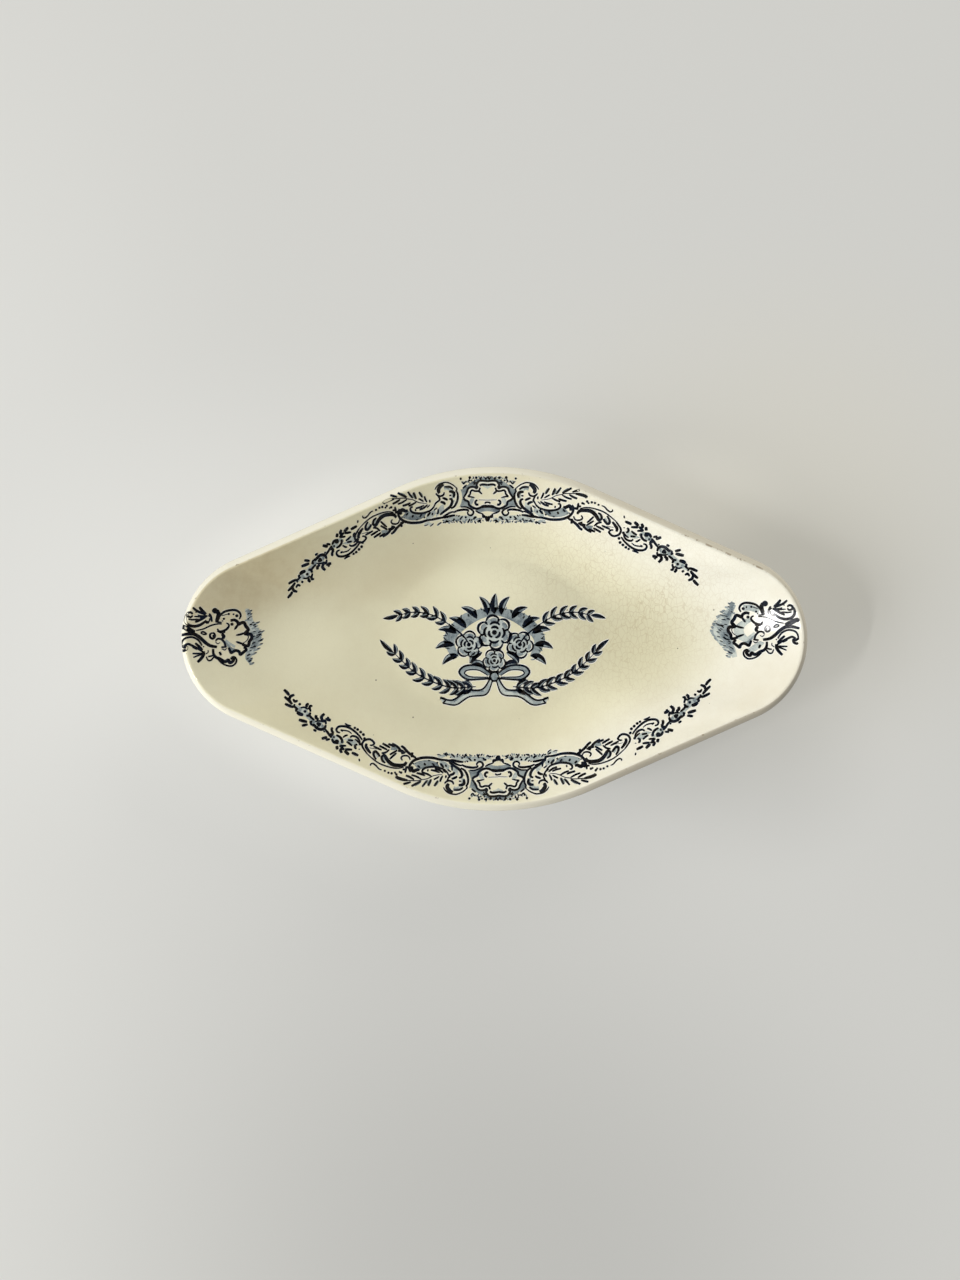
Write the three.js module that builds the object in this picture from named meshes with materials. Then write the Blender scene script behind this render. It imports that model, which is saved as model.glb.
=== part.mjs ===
import * as THREE from 'three';

// Lozenge-shaped earthenware dish. Sizes are in millimetres.
// X runs along the dish, Y across it and Z up, with the foot standing on Z = 0.
const LENGTH = 235; // over the rim, end to end
const WIDTH = 129; // over the rim, side to side
const HEIGHT = 32; // table to the top of the rim
const END_RADIUS = 32; // plan radius of the two pointed ends
const SIDE_RADIUS = 90; // plan radius of the bulge in the middle of each long side
const WALL = 4.2; // thickness of the floor over the glaze, where the wall starts
const RIM = 3; // thickness of the wall over the glaze at the round rim
const GLAZE = 0.3; // thickness of the glaze
const FLOOR_LENGTH = 78; // oval flat floor, along the dish
const FLOOR_WIDTH = 61; // oval flat floor, across the dish
const CREASE_RISE = 6.5; // part of the wall's rise that starts at the crease round the floor
const CREASE_BLEND = 0.08; // share of the wall over which the crease is rounded
const WALL_CURVE = 2.2; // how quickly the wall steepens from the floor to the rim, as a power of its share
const FOOT_HEIGHT = 4; // table to the glazed underside of the floor
const FOOT_INSET = 1.5; // root of the foot inside the edge of the flat floor
const FOOT_ROOT = 6.6; // thickness of the foot where it joins the floor
const FOOT_TAPER = 1; // how far each side of the foot leans in, down to the glaze line
const FOOT_ROUNDING = 0.8; // how far each side of the bare tread leans in below the glaze line
const BARE_FOOT = 1.2; // height of the glaze line on the foot

const END_STEPS = 6; // points round a quarter of the plan: half an end,
const SLANT_STEPS = 4; // one straight slant,
const BULGE_STEPS = 4; // and half a side's bulge
const WALL_STEPS = 6; // rings up the wall
const RIM_STEPS = 6; // rings over the rim
const NUDGE = 1e-4; // step for the slopes of the wall

const rimHalf = RIM / 2; // middle of the rim to the face of its glaze
const floorMiddle = FOOT_HEIGHT + WALL / 2;
const wallRise = HEIGHT - rimHalf - floorMiddle;
const floorTop = FOOT_HEIGHT + WALL; // face of the glaze on the floor
const clayTop = floorTop - GLAZE;
const clayUnderside = FOOT_HEIGHT + GLAZE;

// The plan of the rim is four arcs joined by four slants. These are the centres of one end and one bulge,
// and the direction that the slant between them faces.
const endCentre = new THREE.Vector2(LENGTH / 2 - END_RADIUS, 0);
const bulgeCentre = new THREE.Vector2(0, WIDTH / 2 - SIDE_RADIUS);
const centreGap = endCentre.distanceTo(bulgeCentre);
const slantAngle = Math.atan2(-bulgeCentre.y, endCentre.x) + Math.acos((SIDE_RADIUS - END_RADIUS) / centreGap);
const slantFacing = new THREE.Vector2(Math.cos(slantAngle), Math.sin(slantAngle));
// The middle line of the rim lies half its thickness inside that plan.
const endReach = END_RADIUS - rimHalf;
const bulgeReach = SIDE_RADIUS - rimHalf;
const slantStart = slantFacing.clone().multiplyScalar(endReach).add(endCentre);
const slantEnd = slantFacing.clone().multiplyScalar(bulgeReach).add(bulgeCentre);

// Distance from the origin to the far side of a circle, along a unit direction.
function reachToCircle(direction, centre, radius) {
  const along = direction.dot(centre);
  return along + Math.sqrt(along * along - centre.lengthSq() + radius * radius);
}

// Distance from the axis to the middle line of the rim, at an angle round the dish.
function rimReach(angle) {
  const direction = new THREE.Vector2(Math.abs(Math.cos(angle)), Math.abs(Math.sin(angle)));
  if (slantStart.cross(direction) < 0) return reachToCircle(direction, endCentre, endReach);
  if (slantEnd.cross(direction) < 0) return slantFacing.dot(slantStart) / slantFacing.dot(direction);
  return reachToCircle(direction, bulgeCentre, bulgeReach);
}

// Distance from the axis to an oval, at an angle round the dish.
function ovalReach(angle, halfLength, halfWidth) {
  return 1 / Math.hypot(Math.cos(angle) / halfLength, Math.sin(angle) / halfWidth);
}

// Height of the middle of the wall above the floor, for a share of the way from the floor to the rim.
function wallHeight(share) {
  const crease = Math.hypot(share, CREASE_BLEND) - CREASE_BLEND;
  const fullCrease = Math.hypot(1, CREASE_BLEND) - CREASE_BLEND;
  return CREASE_RISE * (crease / fullCrease) + (wallRise - CREASE_RISE) * Math.pow(Math.max(share, 0), WALL_CURVE);
}

// A point in the middle of the wall's thickness.
function wallMiddle(angle, share) {
  const floorReach = ovalReach(angle, FLOOR_LENGTH / 2, FLOOR_WIDTH / 2);
  const reach = floorReach + (rimReach(angle) - floorReach) * share;
  return new THREE.Vector3(reach * Math.cos(angle), reach * Math.sin(angle), floorMiddle + wallHeight(share));
}

// The wall's directions at a point: round the dish, and out of its upper face.
function wallDirections(angle, share) {
  const round = wallMiddle(angle + NUDGE, share).sub(wallMiddle(angle - NUDGE, share)).normalize();
  const outward = wallMiddle(angle, share + NUDGE).sub(wallMiddle(angle, share - NUDGE));
  const facing = outward.cross(round).normalize();
  return { round, facing };
}

// Angles round the dish, evenly spread over the arcs and slants of the rim.
function planAngles() {
  const quarter = [];
  for (let i = 0; i < END_STEPS; i++) {
    const turn = (slantAngle * i) / END_STEPS;
    quarter.push(Math.atan2(endReach * Math.sin(turn), endCentre.x + endReach * Math.cos(turn)));
  }
  for (let i = 0; i < SLANT_STEPS; i++) {
    const point = slantStart.clone().lerp(slantEnd, i / SLANT_STEPS);
    quarter.push(point.angle());
  }
  for (let i = 0; i < BULGE_STEPS; i++) {
    const turn = slantAngle + ((Math.PI / 2 - slantAngle) * i) / BULGE_STEPS;
    quarter.push(Math.atan2(bulgeCentre.y + bulgeReach * Math.sin(turn), bulgeReach * Math.cos(turn)));
  }
  const mirrored = quarter.slice(1).reverse().map((angle) => Math.PI - angle);
  const halfRound = [...quarter, Math.PI / 2, ...mirrored];
  return [...halfRound, ...halfRound.map((angle) => angle + Math.PI)];
}

const angles = planAngles();

// A ring of points on a face of the wall, at a distance from the middle of its thickness.
function wallRing(share, offset) {
  return angles.map((angle) => {
    const { facing } = wallDirections(angle, share);
    return wallMiddle(angle, share).addScaledVector(facing, offset);
  });
}

// A ring of points over the round rim, turned from its inner face (0) to its outer face (a half turn).
function rimRing(turn, radius) {
  return angles.map((angle) => {
    const { round, facing } = wallDirections(angle, 1);
    const outward = round.clone().cross(facing);
    return wallMiddle(angle, 1)
      .addScaledVector(facing, radius * Math.cos(turn))
      .addScaledVector(outward, radius * Math.sin(turn));
  });
}

// A level oval ring on the foot, inside the root's outer edge by an inset.
function footRing(inset, height) {
  const halfLength = FLOOR_LENGTH / 2 - FOOT_INSET - inset;
  const halfWidth = FLOOR_WIDTH / 2 - FOOT_INSET - inset;
  return angles.map((angle) => {
    const reach = ovalReach(angle, halfLength, halfWidth);
    return new THREE.Vector3(reach * Math.cos(angle), reach * Math.sin(angle), height);
  });
}

// A single point on the axis, which closes a surface.
function axisPoint(height) {
  return [new THREE.Vector3(0, 0, height)];
}

// Half the thickness of the wall over the glaze, which thins from the floor to the rim.
function wallHalf(share) {
  return WALL / 2 + (rimHalf - WALL / 2) * share;
}

// Rings up the inner face of the wall, over the rim and down the outer face, at a depth under the glaze.
function wallRings(depth) {
  const shares = Array.from({ length: WALL_STEPS + 1 }, (_, i) => i / WALL_STEPS);
  const turns = Array.from({ length: RIM_STEPS - 1 }, (_, i) => (Math.PI * (i + 1)) / RIM_STEPS);
  return [
    ...shares.map((share) => wallRing(share, wallHalf(share) - depth)),
    ...turns.map((turn) => rimRing(turn, rimHalf - depth)),
    ...shares.toReversed().map((share) => wallRing(share, depth - wallHalf(share))),
  ];
}

// The closed surface through a list of rings. Each four-sided patch is split along its shorter diagonal,
// so that two pieces that share a face share its triangles.
function surfaceThrough(rings) {
  const points = rings.flat();
  const index = [];
  let start = 0;
  for (let i = 0; i + 1 < rings.length; i++) {
    const next = start + rings[i].length;
    for (let k = 0; k < angles.length; k++) {
      const after = (k + 1) % angles.length;
      const a = rings[i].length > 1 ? start + k : start;
      const d = rings[i].length > 1 ? start + after : start;
      const b = rings[i + 1].length > 1 ? next + k : next;
      const c = rings[i + 1].length > 1 ? next + after : next;
      if (a === d) index.push(a, b, c);
      else if (b === c) index.push(a, b, d);
      else if (points[a].distanceTo(points[c]) < points[b].distanceTo(points[d])) index.push(a, b, c, a, c, d);
      else index.push(a, b, d, b, c, d);
    }
    start = next;
  }
  const geometry = new THREE.BufferGeometry().setFromPoints(points);
  geometry.setIndex(index);
  geometry.computeVertexNormals();
  return geometry;
}

function piece(name, rings, material) {
  const mesh = new THREE.Mesh(surfaceThrough(rings), new THREE.MeshStandardMaterial(material));
  mesh.name = name;
  return mesh;
}

// Pressed clay: floor, wall and rim.
const body = piece(
  'earthenware_body',
  [axisPoint(clayTop), ...wallRings(GLAZE), axisPoint(clayUnderside)],
  { color: 0xe4d9bd, roughness: 0.85, metalness: 0 },
);

// Oval clay ring under the floor. Its tread is left bare.
const innerGlazeLine = FOOT_ROOT - FOOT_TAPER;
const footSection = [
  footRing(FOOT_ROOT, clayUnderside),
  footRing(0, clayUnderside),
  footRing(FOOT_TAPER, BARE_FOOT),
  footRing(FOOT_TAPER + FOOT_ROUNDING, 0),
  footRing(innerGlazeLine - FOOT_ROUNDING, 0),
  footRing(innerGlazeLine, BARE_FOOT),
];
const foot = piece('foot_ring', [...footSection, footSection[0]], { color: 0xd9c9a6, roughness: 0.9, metalness: 0 });

// Glaze over the inside, the rim and the outside, down to the glaze line on the foot.
const glaze = piece(
  'glaze_coat',
  [
    axisPoint(floorTop),
    ...wallRings(0),
    footRing(-GLAZE, FOOT_HEIGHT),
    footRing(FOOT_TAPER - GLAZE, BARE_FOOT),
    footRing(FOOT_TAPER, BARE_FOOT),
    footRing(0, clayUnderside),
    ...wallRings(GLAZE).reverse(),
    axisPoint(clayTop),
  ],
  { color: 0xe2dabf, roughness: 0.12, metalness: 0 },
);

// Glaze in the recess inside the foot.
const recessGlaze = piece(
  'recess_glaze',
  [
    axisPoint(clayUnderside),
    footRing(FOOT_ROOT, clayUnderside),
    footRing(innerGlazeLine, BARE_FOOT),
    footRing(innerGlazeLine + GLAZE, BARE_FOOT),
    footRing(FOOT_ROOT + GLAZE, FOOT_HEIGHT),
    axisPoint(FOOT_HEIGHT),
  ],
  { color: 0xded5b8, roughness: 0.15, metalness: 0 },
);

const dish = new THREE.Group();
dish.name = 'appetizer_dish';
dish.add(body, foot, glaze, recessGlaze);

export default dish;
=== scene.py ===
import bpy
import math
import mathutils
import random
import numpy as np
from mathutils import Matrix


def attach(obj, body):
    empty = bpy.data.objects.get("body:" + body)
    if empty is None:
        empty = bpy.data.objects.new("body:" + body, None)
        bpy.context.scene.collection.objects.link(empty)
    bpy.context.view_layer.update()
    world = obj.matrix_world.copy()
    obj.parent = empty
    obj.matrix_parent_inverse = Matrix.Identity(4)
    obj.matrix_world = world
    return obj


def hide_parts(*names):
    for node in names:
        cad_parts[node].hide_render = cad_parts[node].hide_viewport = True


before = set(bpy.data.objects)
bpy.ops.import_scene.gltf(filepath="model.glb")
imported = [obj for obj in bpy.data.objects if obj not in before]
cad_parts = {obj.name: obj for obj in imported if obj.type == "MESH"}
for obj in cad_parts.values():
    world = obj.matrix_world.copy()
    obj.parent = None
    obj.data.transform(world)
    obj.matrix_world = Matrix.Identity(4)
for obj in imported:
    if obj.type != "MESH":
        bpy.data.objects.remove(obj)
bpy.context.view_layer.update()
print("frame loaded")

mm = 0.001


# Shape of the dish, in millimetres, as in the solids apart from its fuller lip
dishShape = {
    "length": 235.0, "width": 129.0, "height": 32.0,
    "endRadius": 32.0, "sideRadius": 90.0,
    "wall": 4.2, "rim": 3.0, "glaze": 0.3,
    "floorLength": 78.0, "floorWidth": 61.0,
    "creaseRise": 6.5, "creaseBlend": 0.08, "wallCurve": 2.2,
    "footHeight": 4.0, "footInset": 1.5, "footRoot": 6.6,
    "footTaper": 1.0, "footRounding": 0.8, "bareFoot": 1.2,
    "lipCorner": 0.74,  # 1 is a round lip, smaller is cut squarer
    "lipInner": 2.3,  # middle of the wall to its inner face at the lip
}
half, rimHalf = dishShape["wall"] / 2, dishShape["rim"] / 2
floorMiddle = dishShape["footHeight"] + half
wallRise = dishShape["height"] - rimHalf - floorMiddle
endX = dishShape["length"] / 2 - dishShape["endRadius"]
bulgeY = dishShape["width"] / 2 - dishShape["sideRadius"]
slantAngle = math.atan2(-bulgeY, endX) + math.acos(
    (dishShape["sideRadius"] - dishShape["endRadius"]) / math.hypot(endX, bulgeY))
endReach = dishShape["endRadius"] - rimHalf
bulgeReach = dishShape["sideRadius"] - rimHalf
slantFacing = (math.cos(slantAngle), math.sin(slantAngle))
slantStart = (endX + endReach * slantFacing[0], endReach * slantFacing[1])
slantEnd = (bulgeReach * slantFacing[0], bulgeY + bulgeReach * slantFacing[1])


def reachToCircle(dx, dy, cx, cy, radius):
    along = dx * cx + dy * cy
    return along + np.sqrt(np.maximum(along * along - cx * cx - cy * cy + radius * radius, 0))


def rimReach(angle):  # axis to the middle line of the rim
    dx, dy = np.abs(np.cos(angle)), np.abs(np.sin(angle))
    onEnd = slantStart[0] * dy - slantStart[1] * dx < 0
    onSlant = slantEnd[0] * dy - slantEnd[1] * dx < 0
    slantFar = slantFacing[0] * slantStart[0] + slantFacing[1] * slantStart[1]
    slant = slantFar / (slantFacing[0] * dx + slantFacing[1] * dy)
    return np.where(onEnd, reachToCircle(dx, dy, endX, 0, endReach),
                    np.where(onSlant, slant, reachToCircle(dx, dy, 0, bulgeY, bulgeReach)))


def ovalReach(angle, halfLength, halfWidth):
    return 1 / np.hypot(np.cos(angle) / halfLength, np.sin(angle) / halfWidth)


def floorReach(angle):
    return ovalReach(angle, dishShape["floorLength"] / 2, dishShape["floorWidth"] / 2)


def wallHeight(share):
    blend, creaseRise = dishShape["creaseBlend"], dishShape["creaseRise"]
    crease = (np.hypot(share, blend) - blend) / (math.hypot(1, blend) - blend)
    return creaseRise * crease + (wallRise - creaseRise) * np.maximum(share, 0) ** dishShape["wallCurve"]


def aroundAxis(angle, reach, height):
    return np.stack([reach * np.cos(angle), reach * np.sin(angle), height + 0 * angle], -1)


def wallMiddle(angle, share):  # middle of the wall's thickness
    inner = floorReach(angle)
    return aroundAxis(angle, inner + (rimReach(angle) - inner) * share, floorMiddle + wallHeight(share))


def unit(v):
    return v / np.linalg.norm(v, axis=-1, keepdims=True)


def wallDirections(angle, share):  # round the dish, and out of the upper face
    step = 1e-4
    around = unit(wallMiddle(angle + step, share) - wallMiddle(angle - step, share))
    outward = wallMiddle(angle, share + step) - wallMiddle(angle, share - step)
    return around, unit(np.cross(outward, around))


def planAngles(endSteps, slantSteps, bulgeSteps):  # spread evenly over the arcs and slants of the rim
    quarter = []
    for i in range(endSteps):
        turn = slantAngle * i / endSteps
        quarter.append(math.atan2(endReach * math.sin(turn), endX + endReach * math.cos(turn)))
    for i in range(slantSteps):
        f = i / slantSteps
        quarter.append(math.atan2(slantStart[1] + (slantEnd[1] - slantStart[1]) * f,
                                  slantStart[0] + (slantEnd[0] - slantStart[0]) * f))
    for i in range(bulgeSteps):
        turn = slantAngle + (math.pi / 2 - slantAngle) * i / bulgeSteps
        quarter.append(math.atan2(bulgeY + bulgeReach * math.sin(turn), bulgeReach * math.cos(turn)))
    halfRound = quarter + [math.pi / 2] + [math.pi - a for a in reversed(quarter[1:])]
    return np.array(halfRound + [a + math.pi for a in halfRound])


angles = planAngles(endSteps=40, slantSteps=26, bulgeSteps=22)


def wallHalf(share, side):  # the wall thins towards the rim on its outer side, and swells to the lip inside
    return half + ((dishShape["lipInner"] if side > 0 else rimHalf) - half) * share


def wallRing(share, side):  # side is 1 on the inner face and -1 on the outer one
    share = np.full_like(angles, share)
    away = side * wallHalf(share, side)
    return wallMiddle(angles, share) + wallDirections(angles, share)[1] * away[:, None]


def overLip(around, facing, turn):  # turn is 0 at the inner face and pi at the outer face
    outward = np.cross(around, facing)
    inward, over = np.cos(turn), np.abs(np.sin(turn))
    side, corner = np.sign(inward), dishShape["lipCorner"]
    reach = np.where(side > 0, dishShape["lipInner"], rimHalf)
    point = facing * side * reach * np.abs(inward) ** corner + outward * rimHalf * over ** corner
    flatter = 2 - corner
    normal = facing * side / reach * np.abs(inward) ** flatter + outward / rimHalf * over ** flatter
    return point, unit(normal)


def rimRing(turn):
    share = np.ones_like(angles)
    around, facing = wallDirections(angles, share)
    return wallMiddle(angles, share) + overLip(around, facing, turn)[0]


def footOval(inset, height):
    inset += dishShape["footInset"]
    reach = ovalReach(angles, dishShape["floorLength"] / 2 - inset, dishShape["floorWidth"] / 2 - inset)
    return aroundAxis(angles, reach, height)


def newObject(name, data):
    made = bpy.data.objects.new(name, data)
    bpy.context.scene.collection.objects.link(made)
    return made


def newMesh(name, points, faces):  # points in metres
    mesh = bpy.data.meshes.new(name)
    mesh.from_pydata([tuple(p) for p in points], [], faces)
    mesh.polygons.foreach_set("use_smooth", [True] * len(mesh.polygons))
    return mesh


def meshFromRings(name, rings, closed=False, masks=None):  # a ring of one point closes an end
    rings = [np.reshape(ring, (-1, 3)) for ring in rings]
    sizes = [len(ring) for ring in rings]
    starts = [sum(sizes[:i]) for i in range(len(rings))]
    last, count = len(rings) - 1, len(angles)
    faces = []
    for i, j in [(i, i + 1) for i in range(last)] + ([(last, 0)] if closed else []):
        for k in range(count):
            n = (k + 1) % count
            a, d = (starts[i] + k, starts[i] + n) if sizes[i] > 1 else (starts[i], None)
            b, c = (starts[j] + k, starts[j] + n) if sizes[j] > 1 else (starts[j], None)
            faces.append([v for v in (a, b, c, d) if v is not None])
    mesh = newMesh(name, np.vstack(rings) * mm, faces)
    for maskName, values in (masks or {}).items():
        layer = mesh.attributes.new(maskName, "FLOAT", "POINT")
        layer.data.foreach_set("value", np.repeat(np.asarray(values, float), sizes))
    mesh.update()
    return newObject(name, mesh)


# Glazed dish, bare foot and glazed recess
dishRings = {
    "floor": (0.12, 0.26, 0.4, 0.54, 0.68, 0.8, 0.9, 0.96),  # shares of the floor's reach
    "creaseTop": 0.2, "creaseInside": 12, "wallInside": 42, "lip": 28,
    "wallOutside": 30, "creaseOutside": 9,
    "usedTop": 0.5,  # darker over the floor and the lower half of the wall
    "wornFrom": 0.97, "wornInside": 0.4, "wornLip": 0.3, "wornOutside": 0.25, "wornFade": 4,
    "crest": 0.75, "crestWidth": 0.3,  # inner corner of the lip, in radians over it
    "lipStart": 0.55, "lipFade": 0.25,
    "footTurn": 0.7, "footTurnSteps": 6,  # soft turn from the underside to the foot
    "footSide": (0.35, 0.7, 1.0),
}
glazeRoll = ((-0.1, -0.12), (0.25, -0.1))  # rolled edge of the glaze: millimetres in over the tread, and up
footRings = {"steps": 6, "sunk": 0.1, "root": 0.4, "sideTaper": 0.6, "sideRise": 0.8}
recessRings = {"side": (0.4, 0.75), "turn": 0.8, "turnSteps": 6, "under": (10, 15, 20, 24)}


def makeGlazedDish():
    d = dishRings
    top = floorMiddle + half
    rings = [np.array([[0, 0, top]])]
    masks = {"rim": [0.0], "used": [1.0], "high": [0.0], "lip": [0.0]}

    def put(ring, **given):
        rings.append(ring)
        for name, values in masks.items():
            values.append(given.get(name, 0.0))

    for f in d["floor"]:
        put(aroundAxis(angles, floorReach(angles) * f, top), used=1)
    crease = np.linspace(0, d["creaseTop"], d["creaseInside"], endpoint=False)
    for share in np.concatenate([crease, np.linspace(d["creaseTop"], 1, d["wallInside"])]):
        worn = max(0, (share - d["wornFrom"]) / (1 - d["wornFrom"])) * d["wornInside"]
        put(wallRing(share, 1), rim=worn, used=max(0, 1 - share / d["usedTop"]), high=share)
    for i in range(1, d["lip"]):
        turn = math.pi * i / d["lip"]
        crest = math.exp(-((turn - d["crest"]) / d["crestWidth"]) ** 2)
        onLip = min(1, max(0, (turn - d["lipStart"]) / d["lipFade"]))
        put(rimRing(turn), rim=max(crest, d["wornLip"]), high=1, lip=onLip)
    crease = np.linspace(d["creaseTop"], 0, d["creaseOutside"])[1:]
    for share in np.concatenate([np.linspace(1, d["creaseTop"], d["wallOutside"]), crease]):
        put(wallRing(share, -1), rim=max(0, d["wornOutside"] - (1 - share) * d["wornFade"]), high=share)
    glaze, bare, taper = dishShape["glaze"], dishShape["bareFoot"], dishShape["footTaper"]
    soft = d["footTurn"]
    turnStart = dishShape["footHeight"] - soft
    for i in range(d["footTurnSteps"]):
        turn = math.pi / 2 * i / d["footTurnSteps"]
        put(footOval(-glaze - soft + soft * math.sin(turn), turnStart + soft * math.cos(turn)))
    for f in d["footSide"]:
        put(footOval(taper * f - glaze, turnStart - (turnStart - bare) * f))
    for inward, rise in glazeRoll:
        put(footOval(taper + inward, bare + rise))
    return meshFromRings("glazedDish", rings, masks=masks)


def makeFootRing():
    d = footRings
    root, taper, rounding = dishShape["footRoot"], dishShape["footTaper"], dishShape["footRounding"]
    bare, top = dishShape["bareFoot"], dishShape["footHeight"] + d["sunk"]
    side, sideTop = taper * d["sideTaper"], bare + d["sideRise"]
    rings = [footOval(root - d["root"], top), footOval(d["root"], top), footOval(side, sideTop),
             footOval(taper, bare)]
    turns = [math.pi / 2 * i / d["steps"] for i in range(d["steps"] + 1)]
    for turn in turns[1:]:
        rings.append(footOval(taper + rounding * (1 - math.cos(turn)), bare * (1 - math.sin(turn))))
    for turn in reversed(turns):
        rings.append(footOval(root - taper - rounding * (1 - math.cos(turn)), bare * (1 - math.sin(turn))))
    rings.append(footOval(root - side, sideTop))
    return meshFromRings("footRing", rings, closed=True)


def makeRecessGlaze():
    d = recessRings
    taper, under = dishShape["footTaper"], dishShape["footHeight"]
    glaze, bare = dishShape["glaze"], dishShape["bareFoot"]
    inner = dishShape["footRoot"] - taper
    rings = [footOval(inner - inward, bare + rise) for inward, rise in reversed(glazeRoll)]
    turnStart = under - d["turn"]
    for f in (0, *d["side"]):
        rings.append(footOval(inner + glaze + taper * f, bare + (turnStart - bare) * f))
    for i in range(d["turnSteps"] + 1):
        turn = math.pi / 2 * i / d["turnSteps"]
        rings.append(footOval(inner + taper + glaze + d["turn"] * (1 - math.cos(turn)),
                              turnStart + d["turn"] * math.sin(turn)))
    for inset in d["under"]:
        rings.append(footOval(inset, under))
    rings.append(np.array([[0, 0, under]]))
    return meshFromRings("recessGlaze", rings)


glazedDish = makeGlazedDish()
footRing = makeFootRing()
recessGlaze = makeRecessGlaze()
print("dish surfaces made:", len(glazedDish.data.polygons), "faces")


# Placing a plan drawing on the inner face, in millimetres
eye = {  # the drawings are laid out as seen from here, at the rim's scale
    "from": (-5.4, -0.45), "height": 650.0, "rimLevel": 30.0,
    "pixelsHigh": 1280, "pixelsPerMillimetre": 2.66, "sensor": 36.0,
}
placing = {"rounds": 16, "furthestTurn": 1.6}  # a drawing bends over the lip up to this turn, in radians


def onDish(drawn, lift):
    drawn, middle = np.asarray(drawn, float), np.array(eye["from"])
    guess = drawn.copy()
    for _ in range(placing["rounds"]):
        angle, reach = np.arctan2(guess[:, 1], guess[:, 0]), np.hypot(guess[:, 0], guess[:, 1])
        inner = floorReach(angle)
        run = rimReach(angle) - inner
        far = np.maximum((reach - inner) / run, 0)
        share = np.minimum(far, 1)
        around, facing = wallDirections(angle, share)
        turn = np.clip((far - 1) * run / rimHalf, 0, placing["furthestTurn"])[:, None]
        point, normal = overLip(around, facing, turn)
        below = wallHalf(share, 1) - dishShape["lipInner"]
        face = wallMiddle(angle, share) + point + facing * below[:, None]
        onFloor = reach < inner
        face[onFloor, :2] = guess[onFloor]
        scale = (eye["height"] - eye["rimLevel"]) / (eye["height"] - face[:, 2:])
        guess += drawn - middle - (face[:, :2] - middle) * scale
    return face + normal * lift, normal


# Materials
surfaceIor = 1.5


def feed(tree, socket, value):  # a link, or a fixed value
    if isinstance(value, bpy.types.NodeSocket):
        tree.links.new(value, socket)
    else:
        socket.default_value = value


def add(tree, kind, settings=None, **inputs):  # an input goes by its name, or by i and its number
    node = tree.nodes.new(kind)
    for key, value in (settings or {}).items():
        setattr(node, key, value)
    for key, value in inputs.items():
        byNumber = key[0] == "i" and key[1:].isdigit()
        feed(tree, node.inputs[int(key[1:]) if byNumber else key.replace("_", " ")], value)
    return node


def mixColour(tree, factor, one, two):
    one, two = ((*colour, 1) if isinstance(colour, tuple) else colour for colour in (one, two))
    return add(tree, "ShaderNodeMix", {"data_type": "RGBA"}, i0=factor, i6=one, i7=two).outputs[2]


def mathNode(tree, operation, *values):
    inputs = {"i" + str(index): value for index, value in enumerate(values)}
    return add(tree, "ShaderNodeMath", {"operation": operation}, **inputs).outputs[0]


def times(tree, one, two):
    return mathNode(tree, "MULTIPLY", one, two)


def timesAdd(tree, one, two, three):
    return mathNode(tree, "MULTIPLY_ADD", one, two, three)


def tint(tree, colour, mask, amount, over):  # lays some of one colour over another
    return mixColour(tree, times(tree, mask, amount), colour, over)


def ramp(tree, value, low, high, toLow=0.0, toHigh=1.0):
    return add(tree, "ShaderNodeMapRange", {"interpolation_type": "SMOOTHSTEP"},
               i0=value, i1=low, i2=high, i3=toLow, i4=toHigh).outputs[0]


def onObject(tree):
    return add(tree, "ShaderNodeTexCoord").outputs["Object"]


def axesOf(tree, place):
    return add(tree, "ShaderNodeSeparateXYZ", Vector=place).outputs


def noise(tree, place, **settings):
    return add(tree, "ShaderNodeTexNoise", Vector=place, **settings).outputs["Fac"]


def newGroup(name, inputs, outputs):  # every socket is a plain value
    tree = bpy.data.node_groups.new(name, "ShaderNodeTree")
    for label, value in inputs.items():
        socket = tree.interface.new_socket(label, in_out="INPUT", socket_type="NodeSocketFloat")
        socket.default_value = value
    for label in outputs:
        tree.interface.new_socket(label, in_out="OUTPUT", socket_type="NodeSocketFloat")
    return tree, tree.nodes.new("NodeGroupInput").outputs, tree.nodes.new("NodeGroupOutput").inputs


def useGroup(tree, group, **values):
    return add(tree, "ShaderNodeGroup", {"node_tree": group}, **values).outputs


def patch(tree, where):
    return useGroup(tree, softPatch, **where)[0]


crackShape = {
    "warp": {"Scale": 240.0, "Detail": 2.0}, "warpBy": (0.0022,) * 3,
    "stretch": (1.2, 0.72, 1.0),  # cells longer across the dish than along it
    "sizes": ((1.0, 1.0), (0.47, 0.8)),  # fine and coarse cracks: cells per metre and width, as shares
    "edge": (0.3, 1.0), "coarse": 0.35,
    "patches": {"Scale": 26.0, "Detail": 3.0}, "patchy": (0.35, 0.7), "patchLevels": (0.75, 0.25),
}


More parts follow.
